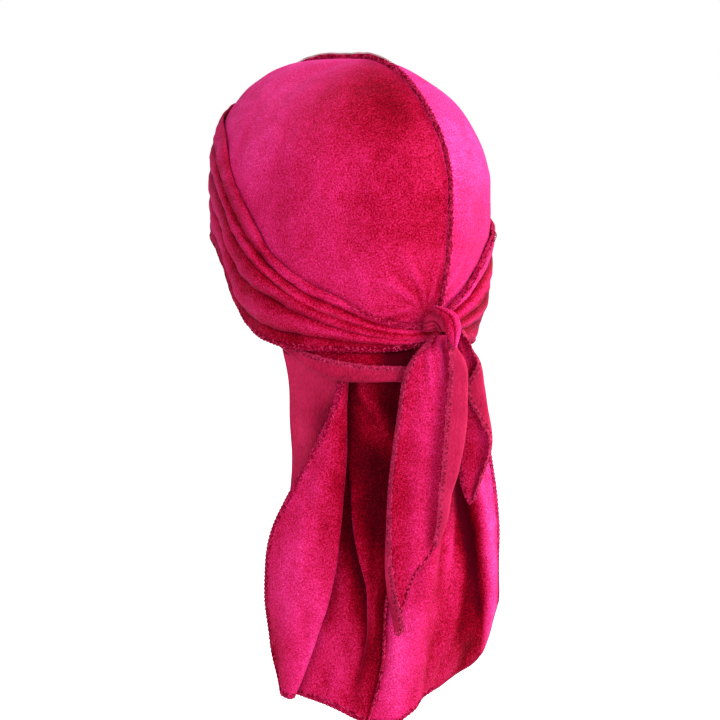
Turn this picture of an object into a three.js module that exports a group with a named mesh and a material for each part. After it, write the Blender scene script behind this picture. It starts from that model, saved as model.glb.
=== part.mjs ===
// Velvet durag with a long tail, in its worn shape. Millimetres, Z up.
// The wearer faces -Y and the wearer's left is +X. The origin is the point inside the
// crown on which the top of the head bears, so the cloth hangs from z = 0 downward.
import * as THREE from 'three';

const V = (x, y, z) => new THREE.Vector3(x, y, z);
const rad = (deg) => (deg * Math.PI) / 180;
const clamp = (x, low, high) => Math.min(high, Math.max(low, x));
const steps = (from, to, count) =>
  Array.from({ length: count + 1 }, (_, i) => from + ((to - from) * i) / count);

// ---- sizes --------------------
const cloth = 1.7;          // wall of the velvet
const strapCloth = 1.6;     // wall of the straps, the same velvet pulled thinner
const seamWidth = 2.0;      // thickness of the overlocked seam fin
const seamGap = 0.3;        // between the fin and each panel
const tailSeamEase = 0.6;   // a little more of it where the tail folds away from the seam
const seamStand = 3.6;      // how far the fin stands proud of the crown
const seamPressed = 0.4;    // the same where the straps press it flat
const drapeTurn = 143.5;    // the tail and strap ends hang turned toward this azimuth
const napeZ = -166;         // the panels leave the head here and the tail begins
const wrapRoom = 1.3;       // between a panel and the strap wound over it
const napeRoom = 1.4;       // between a panel and the nape band
const overNape = 5.6;       // how far the straps stand off where they pass over the nape band

// ---- materials --------------------
const material = (name, color, roughness) =>
  new THREE.MeshStandardMaterial({ name, color, roughness });
const velvet = material('velvet', 0xc8184f, 0.85);
const velvetBack = material('velvet_back', 0xb01e4e, 0.9);
const overlock = material('overlock_thread', 0x7c1836, 0.8);

// ---- smooth curves --------------------
// smooth value at x through the points (xs, ys), held at both ends
function curve(xs, ys, x) {
  const n = xs.length;
  const down = xs[n - 1] < xs[0];
  let i = 0;
  while (i < n - 2 && (down ? x < xs[i + 1] : x > xs[i + 1])) i++;
  const slope = (k) => (ys[k + 1] - ys[k]) / (xs[k + 1] - xs[k]);
  const tangent = (k) => {
    if (k === 0) return slope(0);
    if (k === n - 1) return slope(n - 2);
    const before = xs[k] - xs[k - 1];
    const after = xs[k + 1] - xs[k];
    return (slope(k - 1) * after + slope(k) * before) / (before + after);
  };
  const h = xs[i + 1] - xs[i];
  const t = clamp((x - xs[i]) / h, 0, 1);
  const t2 = t * t;
  const t3 = t2 * t;
  return (2 * t3 - 3 * t2 + 1) * ys[i] + (t3 - 2 * t2 + t) * h * tangent(i) +
    (-2 * t3 + 3 * t2) * ys[i + 1] + (t3 - t2) * h * tangent(i + 1);
}

// point on the Catmull-Rom curve through the points; u counts points
function along(points, u) {
  const n = points.length;
  const i = clamp(Math.floor(u), 0, n - 2);
  const t = u - i;
  const t2 = t * t;
  const t3 = t2 * t;
  const weights = [
    (-t + 2 * t2 - t3) / 2,
    (2 - 5 * t2 + 3 * t3) / 2,
    (t + 4 * t2 - 3 * t3) / 2,
    (-t2 + t3) / 2,
  ];
  const p = V(0, 0, 0);
  weights.forEach((w, k) => p.addScaledVector(points[clamp(i - 1 + k, 0, n - 1)], w));
  return p;
}

// ---- the head the cloth lies on --------------------
// side, brow and nape are the powers that round the crown's section there
const head = {
  halfWidth: 77, front: 90, back: 98, crown: 72, peak: 20, side: 1.72, brow: 3.3, nape: 1.7,
};
// sections below the widest one: height, half width, front and back reach
const sections = {
  z:         [-72, -95, -115, -135, -155, -175, -195],
  halfWidth: [77, 77, 76, 74, 70, 65, 60],
  front:     [90, 90, 89.5, 88.5, 87, 85, 83],
  back:      [98, 98, 95.5, 90.5, 83.5, 76, 69.5],
};

// point on the head: azimuth in degrees from straight behind, toward the wearer's left
function headPoint(azimuth, z) {
  const c = Math.cos(rad(azimuth));
  const s = Math.sin(rad(azimuth));
  if (z <= -head.crown) {
    const reach = curve(sections.z, c > 0 ? sections.back : sections.front, z);
    return V(curve(sections.z, sections.halfWidth, z) * s, reach * c, z);
  }
  const n = head.side * s * s + (c > 0 ? head.nape : head.brow) * (1 - s * s);
  const up = Math.pow(1 + z / head.crown, n / 2);
  const outward = Math.pow(Math.sqrt(Math.max(0, 1 - up * up)), 2 / n);
  const reach = c > 0 ? head.back : head.front;
  return V(head.halfWidth * outward * s, reach * outward * c + head.peak * (1 - outward), z);
}

function headNormal(azimuth, z) {
  const zz = Math.min(z, -1.5);
  const a = headPoint(azimuth + 1, zz).sub(headPoint(azimuth - 1, zz));
  const b = headPoint(azimuth, zz - 1).sub(headPoint(azimuth, zz + 1));
  return a.cross(b).normalize();
}

const onHead = (azimuth, z, lift) =>
  headPoint(azimuth, z).addScaledVector(headNormal(azimuth, z), lift);

// ---- the drape frame: across is the watcher's right, out is toward the watcher --------
const across = V(Math.cos(rad(drapeTurn)), Math.sin(rad(drapeTurn)), 0);
const out = V(Math.sin(rad(drapeTurn)), -Math.cos(rad(drapeTurn)), 0);
const drape = (a, o, z) => V(0, 0, z).addScaledVector(across, a).addScaledVector(out, o);

// ---- cloth as a closed wall --------------------
// a solid from flat lists of coordinates and triangle corners; unused corners are left out
function solid(position, index) {
  const used = new Map();
  const keep = [];
  const renumbered = index.map((i) => {
    if (!used.has(i)) {
      used.set(i, keep.length / 3);
      keep.push(...position.slice(3 * i, 3 * i + 3));
    }
    return used.get(i);
  });
  const g = new THREE.BufferGeometry();
  g.setAttribute('position', new THREE.Float32BufferAttribute(keep, 3));
  g.setIndex(renumbered);
  g.computeVertexNormals();
  return g;
}

// a wall that reaches half of `thick` to either side of a sheet of faces, closed at its rim
function wall(points, faces, thick) {
  const normals = points.map(() => V(0, 0, 0));
  const triangles = [];
  for (const f of faces) {
    for (let k = 1; k + 1 < f.length; k++) {
      if (f[0] !== f[k] && f[k] !== f[k + 1] && f[0] !== f[k + 1]) {
        triangles.push([f[0], f[k], f[k + 1]]);
      }
    }
  }
  for (const [a, b, c] of triangles) {
    const ab = points[b].clone().sub(points[a]);
    const ac = points[c].clone().sub(points[a]);
    const normal = ab.cross(ac);
    for (const corner of [a, b, c]) normals[corner].add(normal);
  }
  normals.forEach((n) => n.normalize());
  const n = points.length;
  const position = [];
  for (const reach of [thick / 2, -thick / 2]) {
    points.forEach((p, i) => position.push(...p.clone().addScaledVector(normals[i], reach).toArray()));
  }
  // an edge that no neighbour runs back along is on the rim
  const index = [];
  const rim = new Map();
  for (const [a, b, c] of triangles) {
    index.push(a, b, c, a + n, c + n, b + n);
    for (const [s, e] of [[a, b], [b, c], [c, a]]) {
      if (!rim.delete(e + ',' + s)) rim.set(s + ',' + e, [s, e]);
    }
  }
  for (const [s, e] of rim.values()) index.push(s, s + n, e + n, s, e + n, e);
  return solid(position, index);
}

// faces of a grid of points numbered row by row; flip turns them over
function gridFaces(rows, columns, flip, base = 0) {
  const faces = [];
  for (let r = 0; r + 1 < rows; r++) {
    for (let c = 0; c + 1 < columns; c++) {
      const a = base + r * columns + c;
      const d = a + columns;
      faces.push(flip ? [a, a + 1, d + 1, d] : [a, d, d + 1, a + 1]);
    }
  }
  return faces;
}

const clothGrid = (rows, flip, thick) =>
  wall(rows.flat(), gridFaces(rows.length, rows[0].length, flip), thick);

// a closed bar from rings of the same number of points, the first point on its outside
function bar(rings) {
  const around = rings[0].length;
  const position = rings.flat().flatMap((p) => p.toArray());
  const index = [];
  for (let r = 0; r + 1 < rings.length; r++) {
    for (let k = 0; k < around; k++) {
      const a = r * around + k;
      const b = r * around + ((k + 1) % around);
      index.push(a, b + around, b, a, a + around, b + around);
    }
  }
  return { position, index };
}

// ---- the tail: one row per fold line, from the seam outward --------------------
// start: azimuth where the line leaves the head; top: across, out and height of the turned-back
// layers, which start under the nape band; a and o: across and out at seven heights, of which
// the last is the line's own hem and the last but one is halfway to it
const tailHeights = [-190, -215, -245, -285, -325];
const seamLine = {
  start: 0, hem: -403,
  a: [46, 43, 38, 33, 23, 21, 12],
  o: [64.5, 66, 66, 66, 67, 66, 63],
};
const leftFolds = [
  seamLine,
  { name: 'pocket', start: 10, hem: -402,
    a: [26, 30, 34, 29, 18.8, 17, 8],
    o: [71.5, 61, 62, 66, 66.6, 65.6, 62.7] },
  { name: 'diagonal crest', start: 20, hem: -401,
    a: [9, 22, 30, 24, 16.6, 15, 5.5],
    o: [75, 70, 65, 65, 66, 65, 62.3] },
  { name: 'dark face', start: 30, hem: -400,
    a: [4, 12, 18, 15, 14.4, 13, 3],
    o: [71.8, 68, 64, 64, 65.2, 64, 61.8] },
  { name: 'inner crest', start: 40, hem: -399,
    a: [-1, 1, 3, 4, 12, 11, 0.5],
    o: [71, 65, 63, 66, 63.5, 61.5, 60.5] },
  { name: 'inner valley', start: 50, hem: -397,
    a: [-6, -3, -1, 9, 15, 9.5, -4],
    o: [70.3, 63, 60.5, 59.5, 57, 57, 59] },
  { name: 'back layer', start: 60, hem: -393,
    a: [-16, -14, -14, -14, -2, -2, -14],
    o: [67, 61, 57.6, 55.3, 56.6, 57, 57] },
  { name: 'outer turn', start: 72, hem: -388,
    a: [-33, -32.5, -32, -34, -36, -37, -37],
    o: [55.6, 50.6, 48.6, 45.6, 44.6, 44.6, 45.6] },
];
const turnedFolds = [
  { name: 'turned edge', top: [-38.6, 61.2, -173], hem: -388,
    a: [-35.6, -34.9, -34, -35.8, -37.9, -38.9, -38.9],
    o: [59, 54, 51.6, 48.6, 47.6, 47.6, 48.6] },
  { name: 'matte ridge', top: [-30, 65.5, -175], hem: -388,
    a: [-29, -27.5, -23.5, -25, -29, -33.5, -37.4],
    o: [63.8, 61, 58, 53, 51, 50, 49.8] },
  { name: 'matte layer', top: [-14, 74.8, -177], hem: -388,
    a: [-14, -12, -11, -13.5, -22, -29.5, -36.5],
    o: [72, 67, 64, 60, 55.6, 54, 52.8] },
  { name: 'flap crest', top: [-1.5, 77.3, -179], hem: -389,
    a: [-1.5, -3, -3.5, -6.5, -13, -23.5, -34],
    o: [76, 72, 70, 68, 65, 61, 57] },
  { name: 'flap face', top: [-2.6, 80.2, -179], hem: -389,
    a: [-3, -8, -15, -27, -33, -36.2, -37.5],
    o: [79, 75, 72, 67, 64, 59.5, 58] },
  { name: 'flap edge', top: [-5.2, 79.7, -179], hem: -388,
    a: [-5.8, -13.5, -28, -47, -52, -48.5, -41.5],
    o: [78.6, 74, 66, 55, 50, 48.5, 52] },
];
const rightFolds = [
  seamLine,
  { name: 'bright strip', start: -6, hem: -404,
    a: [51, 48, 45, 42, 34, 32, 25],
    o: [60.5, 63, 66, 68, 70, 68, 64] },
  { name: 'crease', start: -14, hem: -397,
    a: [57, 54, 51, 51, 47, 43, 39],
    o: [53, 57, 62, 65, 66, 64, 59] },
  { name: 'step', start: -22, hem: -389,
    a: [61.5, 59, 56, 56, 54, 50, 47],
    o: [45.5, 51, 57, 59, 59, 58, 53] },
  { name: 'broad face', start: -31, hem: -384,
    a: [65, 63, 60, 63, 64, 61, 58],
    o: [37, 44, 51, 53, 53, 52, 45] },
  { name: 'valley', start: -42, hem: -372,
    a: [68, 67, 66, 73, 79, 80.5, 77],
    o: [25, 35, 43, 44, 45, 45, 38] },
  { name: 'right crest', start: -52, hem: -362,
    a: [69, 74, 78, 85.5, 88, 86.5, 83.5],
    o: [14, 30, 43, 48, 48, 46, 39] },
  { name: 'right edge', start: -62, hem: -345,
    a: [68, 82, 89, 93, 93, 92, 90],
    o: [3, 24, 33, 37, 38, 37, 33] },
];
const foldSpans = 7;   // stretches between the eight points of a fold line
const tailRows = 14;

// a fold line as its eight points from the head down to the hem
function foldPath(f, side) {
  const bottom = tailHeights[tailHeights.length - 1];
  const heights = [...tailHeights, (bottom + f.hem) / 2, f.hem];
  const inset = f === seamLine ? side * (seamWidth / 2 + seamGap) : 0;
  const ease = f === seamLine ? side * tailSeamEase : 0;
  const hanging = heights.map((z, i) => drape(f.a[i] - inset - ease, f.o[i], z));
  if (f.top) return [drape(...f.top), ...hanging];
  const first = onHead(f.start, napeZ, cloth / 2);
  first.x += inset;
  return [first, ...hanging];
}

// ---- the panels: half of the crown and half of the tail in one cloth --------------------
const crownSteps = [-0.6, -3.5, -10, -21, -37, -55];       // heights of the crown's rows
const bodyHeights = [-72, -97, -119, -137, -152, napeZ];   // and of the rows under them
const sideColumns = 9;                                     // from the last fold line to the brow
// lower edge of the crown from the last fold line round to the brow
const crownEdge = { azimuth: [110, 140, 180], z: [-104, -92, -88], besideTail: -150 };

function panel(side) {
  const onCrown = side > 0 ? leftFolds : rightFolds;
  const folds = side > 0 ? [...leftFolds, ...turnedFolds] : rightFolds;
  const inset = side * (seamWidth / 2 + seamGap);
  // crown columns: two for each fold line at the back, then on to the forehead
  const starts = onCrown.map((f) => Math.abs(f.start));
  const last = starts[starts.length - 1];
  const behind = starts.flatMap((start, i) => (i === 0 ? [start] : [(starts[i - 1] + start) / 2, start]));
  const azimuths = [...behind, ...steps(last, 180, sideColumns).slice(1)];
  const columns = azimuths.length;
  const lowest = (azimuth) => {
    if (azimuth <= last) return napeZ;
    return curve([last, ...crownEdge.azimuth], [crownEdge.besideTail, ...crownEdge.z], azimuth);
  };
  // the rows under the crown close up toward the edge's height
  const points = [V(inset, head.peak, cloth / 2)];
  const heights = [...crownSteps, ...bodyHeights];
  for (const z of heights) {
    for (const azimuth of azimuths) {
      const share = (lowest(azimuth) + head.crown) / (napeZ + head.crown);
      const height = z > -head.crown ? z : -head.crown + (z + head.crown) * share;
      const p = onHead(side * azimuth, height, cloth / 2);
      p.x += inset;
      points.push(p);
    }
  }
  const faces = gridFaces(heights.length, columns, false, 1);
  for (let c = 0; c + 1 < columns; c++) faces.push([0, 1 + c, 2 + c]);
  // the tail's rows; its first row is the crown's last one as far as that reaches
  const lastRow = 1 + (heights.length - 1) * columns;
  const tailColumns = 2 * (folds.length - 1) + 1;
  const paths = folds.map((f) => foldPath(f, side));
  const ids = [];
  for (let r = 0; r <= tailRows; r++) {
    const row = paths.map((p) => along(p, (foldSpans * r) / tailRows));
    ids.push([]);
    for (let c = 0; c < tailColumns; c++) {
      if (r === 0 && c < behind.length) {
        ids[0].push(lastRow + c);
      } else {
        ids[r].push(points.length);
        points.push(along(row, c / 2));
      }
    }
  }
  for (let r = 0; r < tailRows; r++) {
    for (let c = 0; c + 1 < tailColumns; c++) {
      faces.push([ids[r][c], ids[r + 1][c], ids[r + 1][c + 1], ids[r][c + 1]]);
    }
  }
  if (side < 0) faces.forEach((f) => f.reverse());
  return wall(points, faces, cloth);
}

// ---- the seam fin, pressed flat under the straps at the forehead and the nape -----------------
const browStand = { z: [-88, -16, -10, -4], stand: [seamPressed, seamPressed, 1.2, seamStand] };
const backStand = {
  z: [-0.7, -120, -138, -150, -166],
  stand: [seamStand, seamStand, 3, seamPressed, seamPressed],
};
const tailStand = { u: [0, 1.0, 1.5, 6, 7], stand: [seamPressed, seamPressed, 2.6, 2.6, 1.6] };
const browRows = [-88, -80, -68, -55, -42, -30, -20, -12, -6, -2.4, -0.7];
const backRows = [-0.7, -3.5, -8, -15, -25, -37, -50, -63, -77, -92, -107, -121, -133, -143, -153];
const finRidge = 1.15;    // the fin's middle stands this much higher than its sides

function seam() {
  const rings = [];
  const add = (p, up, side, stand) => {
    const half = seamWidth / 2;
    const low = -cloth / 2;
    const high = cloth / 2 + stand;
    const section = [[-half, low], [half, low], [half, high], [0, high * finRidge], [-half, high]];
    rings.push(section.map(([x, y]) => p.clone().addScaledVector(side, x).addScaledVector(up, y)));
  };
  const X = V(1, 0, 0);
  for (const z of browRows) {
    add(onHead(180, z, cloth / 2), headNormal(180, z), X, curve(browStand.z, browStand.stand, z));
  }
  add(V(0, head.peak, cloth / 2), V(0, 0, 1), X, seamStand);
  for (const z of backRows) {
    add(onHead(0, z, cloth / 2), headNormal(0, z), X, curve(backStand.z, backStand.stand, z));
  }
  // down the tail the fin turns from the head's side direction to the drape's
  const path = foldPath(seamLine, 0);
  for (let r = 0; r <= tailRows; r++) {
    const u = (foldSpans * r) / tailRows;
    const turn = Math.min(1, u);
    const side = X.clone().multiplyScalar(1 - turn).addScaledVector(across, -turn).normalize();
    const ahead = along(path, Math.min(foldSpans, u + 0.05));
    const down = ahead.sub(along(path, Math.max(0, u - 0.05))).normalize();
    const up = side.clone().cross(down).normalize();
    add(along(path, u), up, side, curve(tailStand.u, tailStand.stand, u));
  }
  const { position, index } = bar(rings);
  const sides = rings[0].length;
  const end = sides * (rings.length - 1);
  for (let k = 1; k + 1 < sides; k++) index.push(0, k, k + 1, end, end + k + 1, end + k);
  return solid(position, index);
}

// ---- the outer strap passes --------------------
// by azimuth: how deep the creases are, and the heights of the upper edge, creases and lower edge
const wrapLeft = {
  azimuth: [4, 15, 30, 45, 60, 75, 90, 105, 130, 160, 196],
  depth: [1, 1, 1, 1, 1, 1, 0.85, 0.6, 0.4, 0.3, 0.15],
  lines: [
    { lift: 0.6,
      z: [-152.5, -152.5, -146.5, -136.5, -127, -111, -80, -56, -38, -32, -30] },
    { lift: 2.6,
      z: [-153.3, -153.4, -148.4, -139.2, -129.8, -114, -86, -62, -44, -39, -37] },
    { lift: 0.3,
      z: [-154.1, -154.4, -150.1, -141.6, -132.6, -117.5, -93, -68, -50, -46, -44] },
    { lift: 3.0,
      z: [-154.9, -155.4, -151.7, -144, -135.6, -121.4, -100, -75, -57, -53, -51] },
    { lift: 0.3,
      z: [-155.8, -156.4, -153.2, -146.3, -138.2, -124.6, -106, -82, -64, -60, -58] },
    { lift: 2.6,
      z: [-156.7, -157.5, -154.7, -148.4, -140.8, -130.5, -118, -93, -72, -68, -66] },
    { lift: 0.4,
      z: [-157.6, -158.6, -156.2, -150.6, -143.6, -135.5, -126, -101, -79, -75, -74] },
    { lift: 2.8,
      z: [-158.5, -159.8, -158.2, -154.8, -149.8, -146, -138, -110, -88, -84, -83] },
    { lift: 0.4,
      z: [-159.5, -161.2, -160.6, -158.8, -156.8, -154, -146, -118, -96, -92, -91] },
    { lift: 2.0,
      z: [-160.8, -163.6, -165, -165, -165, -162.5, -154, -126, -104, -101, -100] },
  ],
};
const wrapRight = {
  azimuth: [4, 9, 15, 22, 30, 45, 60, 75, 90, 105, 130, 160, 187],
  depth: [1, 1, 1, 0.9, 0.7, 0.5, 0.6, 0.8, 1, 1, 1, 0.6, 0.15],
  lines: [
    { lift: 0.2,
      z: [-145, -139, -131, -120, -110, -103, -96, -88, -78, -66, -46, -33, -31] },
    { lift: 2.4,
      z: [-146.5, -141.5, -134, -124.5, -116, -109.5, -103, -95.5, -86.5, -74, -54, -41, -39] },
    { lift: 0.4,
      z: [-148, -144, -137.5, -129, -121.5, -116, -110, -103, -94.5, -81, -61, -49, -47] },
    { lift: 2.6,
      z: [-149.6, -146.5, -141, -134, -127.5, -123, -118, -111, -102.5, -88, -68, -57, -55] },
    { lift: 0.5,
      z: [-151.2, -149.3, -145, -139.5, -134, -130.5, -126, -119.5, -111, -95, -75, -65, -63] },
    { lift: 2.0,
      z: [-152.9, -152, -149.5, -145.5, -142, -139.5, -136, -129.5, -121, -102, -82, -74, -72] },
    { lift: 0.3,
      z: [-154.6, -155, -154, -151.5, -149.5, -148, -145, -139, -130, -109, -89, -83, -81] },
    { lift: 1.4,
      z: [-156.3, -158.3, -159.5, -159, -158.5, -157.5, -154.5, -149, -139.5, -116, -96, -91.5, -90] },
    { lift: 0.3,
      z: [-158, -161.8, -164.5, -166, -166.5, -165.5, -163, -158, -148, -122, -103, -100, -99] },
  ],
};
const wrapColumns = 22;
const fullCrease = 4.5;   // creases are shallower where the lines are closer together than this
const crossing = { from: 148, span: 15, lift: 0.6 };
const lowPart = { from: 0.2, span: 0.3 };   // shares of the width where it starts to ride over the band

// over: how far this strap crosses over the other; bandEnd: azimuth, just past the nape band's end,
// from which the strap starts coming back to the head; ease: the degrees it takes for that
function wrap(table, side, { over, bandEnd, ease }) {
  const { azimuth, depth, lines } = table;
  const rows = steps(azimuth[0], azimuth[azimuth.length - 1], wrapColumns).map((at) => {
    const heights = lines.map((l) => curve(azimuth, l.z, at));
    const spacing = (heights[0] - heights[heights.length - 1]) / (lines.length - 1);
    const crease = Math.min(1, spacing / fullCrease) * curve(azimuth, depth, at);
    const besideBand = clamp((bandEnd + ease - at) / ease, 0, 1);
    const crossed = (crossing.lift + over) * clamp((at - crossing.from) / crossing.span, 0, 1);
    return lines.map((l, i) => {
      const low = clamp((i / (lines.length - 1) - lowPart.from) / lowPart.span, 0, 1);
      const base = cloth + wrapRoom + strapCloth / 2;
      const lift = base + l.lift * crease + overNape * besideBand * low + crossed;
      return onHead(side * at, heights[i], lift);
    });
  });
  return clothGrid(rows, side > 0, strapCloth);
}

// ---- the nape band with its turned-up cuff --------------------
// azimuth, height of the cuff's upper edge, height of the fold under it, and how far it stands off
const nape = {
  azimuth: [-26, -20, -13, -5, 10, 20, 30, 40, 50, 60, 68, 76],
  cuffTop: [-165, -169, -172, -174.5, -175.5, -174.5, -173.5, -171.5, -169.7, -167, -163.7, -159],
  bottom:  [-170, -175.5, -179, -181, -182.5, -181.8, -181.5, -181.2, -178, -174, -169.5, -163.5],
  flare:   [0.5, 3, 6.5, 9, 10, 10.5, 11.5, 12, 10.5, 6.5, 2, 0.5],
};
const napeTop = -157;
const napeColumns = 20;
const foldRise = 1.6;   // from the fold up to where the two layers part
// how much of the flare the inner layer and the cuff have at each point of the section, and how
// far the cuff stands off the inner layer there
const innerShare = { high: 0.2, cuffTop: 0.58, middle: 0.82 };
const cuffShare = { cuffTop: 0.62, middle: 0.84 };
const cuffStand = { fold: 1.5, low: 3.1, middle: 3.0, cuffTop: 2.5 };

function napeBand() {
  const lie = cloth + napeRoom + strapCloth / 2;
  const last = nape.azimuth[nape.azimuth.length - 1];
  const rows = steps(nape.azimuth[0], last, napeColumns).map((azimuth) => {
    const cuff = curve(nape.azimuth, nape.cuffTop, azimuth);
    const low = curve(nape.azimuth, nape.bottom, azimuth);
    const flare = curve(nape.azimuth, nape.flare, azimuth);
    // from the top down the inner layer, round the fold and up the cuff
    const section = [
      [napeTop, 0],
      [(napeTop + cuff) / 2, flare * innerShare.high],
      [cuff, flare * innerShare.cuffTop],
      [(cuff + low) / 2, flare * innerShare.middle],
      [low + foldRise, flare],
      [low, flare + cuffStand.fold],
      [low + foldRise, flare + cuffStand.low],
      [(cuff + low) / 2, flare * cuffShare.middle + cuffStand.middle],
      [cuff, flare * cuffShare.cuffTop + cuffStand.cuffTop],
    ];
    return section.map(([z, lift]) => onHead(azimuth, z, lie + lift));
  });
  return clothGrid(rows, true, strapCloth);
}

// ---- strap ends: one row per edge or fold line --------------------
// across at the listed heights, then at one third, two thirds and all of the way to the line's end;
// lift is added to the strap's own out
const leftEnd = {
  rows: 14,
  heights: [-160, -178, -205, -240],
  out: [82, 87.5, 86, 82, 79.5, 78, 76],
  lines: [
    { name: 'rolled edge', lift: 4.0, a: [51.5, 37.5, 32, 28.5, 28, 30, 33.5], end: -340 },
    { name: 'left turn', lift: 1.2, a: [49.5, 35, 29.5, 25.5, 23.5, 23, 29], end: -343 },
    { name: 'trough', lift: -0.6, a: [52.5, 42, 37, 33.5, 31.5, 31, 34], end: -324 },
    { name: 'face', lift: 1.0, a: [55, 49, 46, 43, 41.5, 40, 40], end: -307 },
    { name: 'right trough', lift: -1.2, a: [57.5, 56, 55.5, 53, 51, 49, 46], end: -299 },
    { name: 'right fold', lift: 0.2, a: [60.5, 67.4, 68.9, 65.4, 62.9, 59.4, 53.4], end: -288 },
    { name: 'right turn', lift: 3.3, a: [61, 67.6, 69.1, 65.6, 63.1, 59.6, 53.6], end: -288 },
    { name: 'flap edge', lift: 4.4, a: [59, 60, 58, 56, 55, 54, 51.5], end: -285 },
  ],
};
const rightEnd = {
  rows: 12,
  heights: [-163, -178, -200, -220],
  out: [80, 79, 75, 71, 68, 66, 63],
  lines: [
    { name: 'left edge', lift: 0.3, a: [61.4, 63.2, 65, 65, 65, 67, 71.4], end: -262 },
    { name: 'face', lift: 0.8, a: [64.3, 69, 72, 73, 73, 73, 73.4], end: -265 },
    { name: 'right fold', lift: -1.6, a: [67, 76.5, 80.5, 84.5, 84, 80, 76], end: -263 },
    { name: 'right turn', lift: 1.8, a: [67.8, 76.8, 80.8, 84.8, 84.3, 80.3, 76.4], end: -262 },
    { name: 'flap edge', lift: 3.5, a: [65.7, 71, 72.5, 80, 82.2, 78.4, 74.8], end: -259 },
  ],
};
const endSpans = 6;   // stretches between the seven points of a line

function strapEnd({ rows, heights, out: reach, lines }) {
  const last = heights[heights.length - 1];
  const paths = lines.map((l) => {
    const run = l.end - last;
    const zs = [...heights, last + run / 3, last + (2 * run) / 3, l.end];
    return zs.map((z, i) => drape(l.a[i], reach[i] + l.lift, z));
  });
  // two columns for each line
  const grid = steps(0, endSpans, rows).map((u) => {
    const row = paths.map((p) => along(p, u));
    return steps(0, row.length - 1, 2 * (row.length - 1)).map((c) => along(row, c));
  });
  return clothGrid(grid, false, strapCloth);
}

// ---- the knot --------------------
// a bunched roll of cloth along a path: width and thickness change from end to end
const ringPoints = 14;
const bunching = { folds: 4, depth: 0.1 };

function roll({ path, widths, thicks, rings }) {
  const last = path.length - 1;
  const stations = steps(0, last, last);
  const sections = steps(0, last, rings).map((u) => {
    const p = along(path, u);
    const t = along(path, Math.min(last, u + 0.1)).sub(along(path, Math.max(0, u - 0.1))).normalize();
    const side = t.clone().cross(out).normalize();
    const up = side.clone().cross(t).normalize();
    const width = curve(stations, widths, u) / 2;
    const thick = curve(stations, thicks, u) / 2;
    return steps(0, ringPoints, ringPoints).slice(0, -1).map((k) => {
      const q = (2 * Math.PI * k) / ringPoints;
      const ripple = 1 - bunching.depth * Math.max(0, Math.cos(bunching.folds * q));
      return p.clone()
        .addScaledVector(side, width * Math.cos(q) * ripple)
        .addScaledVector(up, thick * Math.sin(q) * ripple);
    });
  });
  const { position, index } = bar(sections);
  const first = position.length / 3;
  position.push(...path[0].toArray(), ...path[last].toArray());
  const lastRing = rings * ringPoints;
  for (let k = 0; k < ringPoints; k++) {
    const next = (k + 1) % ringPoints;
    index.push(first, k, next, first + 1, lastRing + next, lastRing + k);
  }
  return solid(position, index);
}

const knotCore = {
  path: [
    drape(43.5, 79.5, -155.5), drape(47, 83.1, -153.5),
    drape(50.5, 83.4, -152.5), drape(54, 81, -151.3),
  ],
  widths: [6, 12, 13, 11],
  thicks: [4, 9, 9, 7],
  rings: 8,
};
const knotLoop = {
  path: [
    drape(52.7, 86.5, -144.5), drape(57, 90.5, -145.5), drape(60.8, 92.5, -149.5),
    drape(62.6, 92.8, -155), drape(62.6, 92, -160.5), drape(62, 90.8, -165.8),
  ],
  widths: [6, 9, 10.5, 10.5, 9, 5],
  thicks: [4.5, 6, 6.5, 6.5, 5, 3.5],
  rings: 12,
};

// ---- assembly --------------------
const root = new THREE.Group();
root.name = 'durag';
const add = (name, geometry, mat) => {
  const mesh = new THREE.Mesh(geometry, mat);
  mesh.name = name;
  root.add(mesh);
};
add('panel_left', panel(1), velvet);
add('panel_right', panel(-1), velvet);
add('center_seam', seam(), overlock);
add('wrap_left', wrap(wrapLeft, 1, { over: 3.4, bandEnd: 78, ease: 26 }), velvet);
add('wrap_right', wrap(wrapRight, -1, { over: 0, bandEnd: 28, ease: 11 }), velvet);
add('nape_band', napeBand(), velvetBack);
add('knot_core', roll(knotCore), velvetBack);
add('knot_loop', roll(knotLoop), velvet);
add('strap_end_left', strapEnd(leftEnd), velvet);
add('strap_end_right', strapEnd(rightEnd), velvet);

export default root;
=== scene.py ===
"""Velvet durag in its worn shape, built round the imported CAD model. Millimetres until mesh().

The wearer faces -Y and the wearer's left is +X. The cloth hangs from a head that isn't built, so it
is held up in the air. The tail and the strap ends hang turned toward one azimuth, so they are
described in a drape frame: across, out and height.
"""

import math

import bpy
import numpy as np
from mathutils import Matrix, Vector

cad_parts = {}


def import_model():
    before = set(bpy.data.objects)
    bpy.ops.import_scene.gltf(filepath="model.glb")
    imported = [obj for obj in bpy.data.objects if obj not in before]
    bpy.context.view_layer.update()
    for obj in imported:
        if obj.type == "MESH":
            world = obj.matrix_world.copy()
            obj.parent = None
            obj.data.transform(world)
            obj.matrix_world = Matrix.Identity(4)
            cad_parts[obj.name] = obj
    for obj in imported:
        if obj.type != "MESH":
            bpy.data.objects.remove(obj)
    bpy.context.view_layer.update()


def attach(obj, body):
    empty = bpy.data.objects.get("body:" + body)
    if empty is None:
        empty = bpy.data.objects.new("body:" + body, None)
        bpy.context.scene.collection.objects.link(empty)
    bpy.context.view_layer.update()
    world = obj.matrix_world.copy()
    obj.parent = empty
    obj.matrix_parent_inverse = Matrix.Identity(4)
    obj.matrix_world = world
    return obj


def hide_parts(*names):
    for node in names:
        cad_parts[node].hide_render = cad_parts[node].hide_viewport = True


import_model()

# ---- sizes, mm ----
MM = 0.001
CLOTH = 1.5  # velvet wall
STRAP_CLOTH = 1.4  # strap wall, the same velvet pulled thinner
CAD_CLOTH = 1.7  # walls of the CAD solids
CAD_STRAP = 1.6
SEAM_HALF = 0.8  # half the fin's thickness, where the panels meet it
SEAM_STAND = 2.7  # the fin's height over the crown
WRAP_ROOM = 1.3  # between a panel and the strap wound over it
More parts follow.
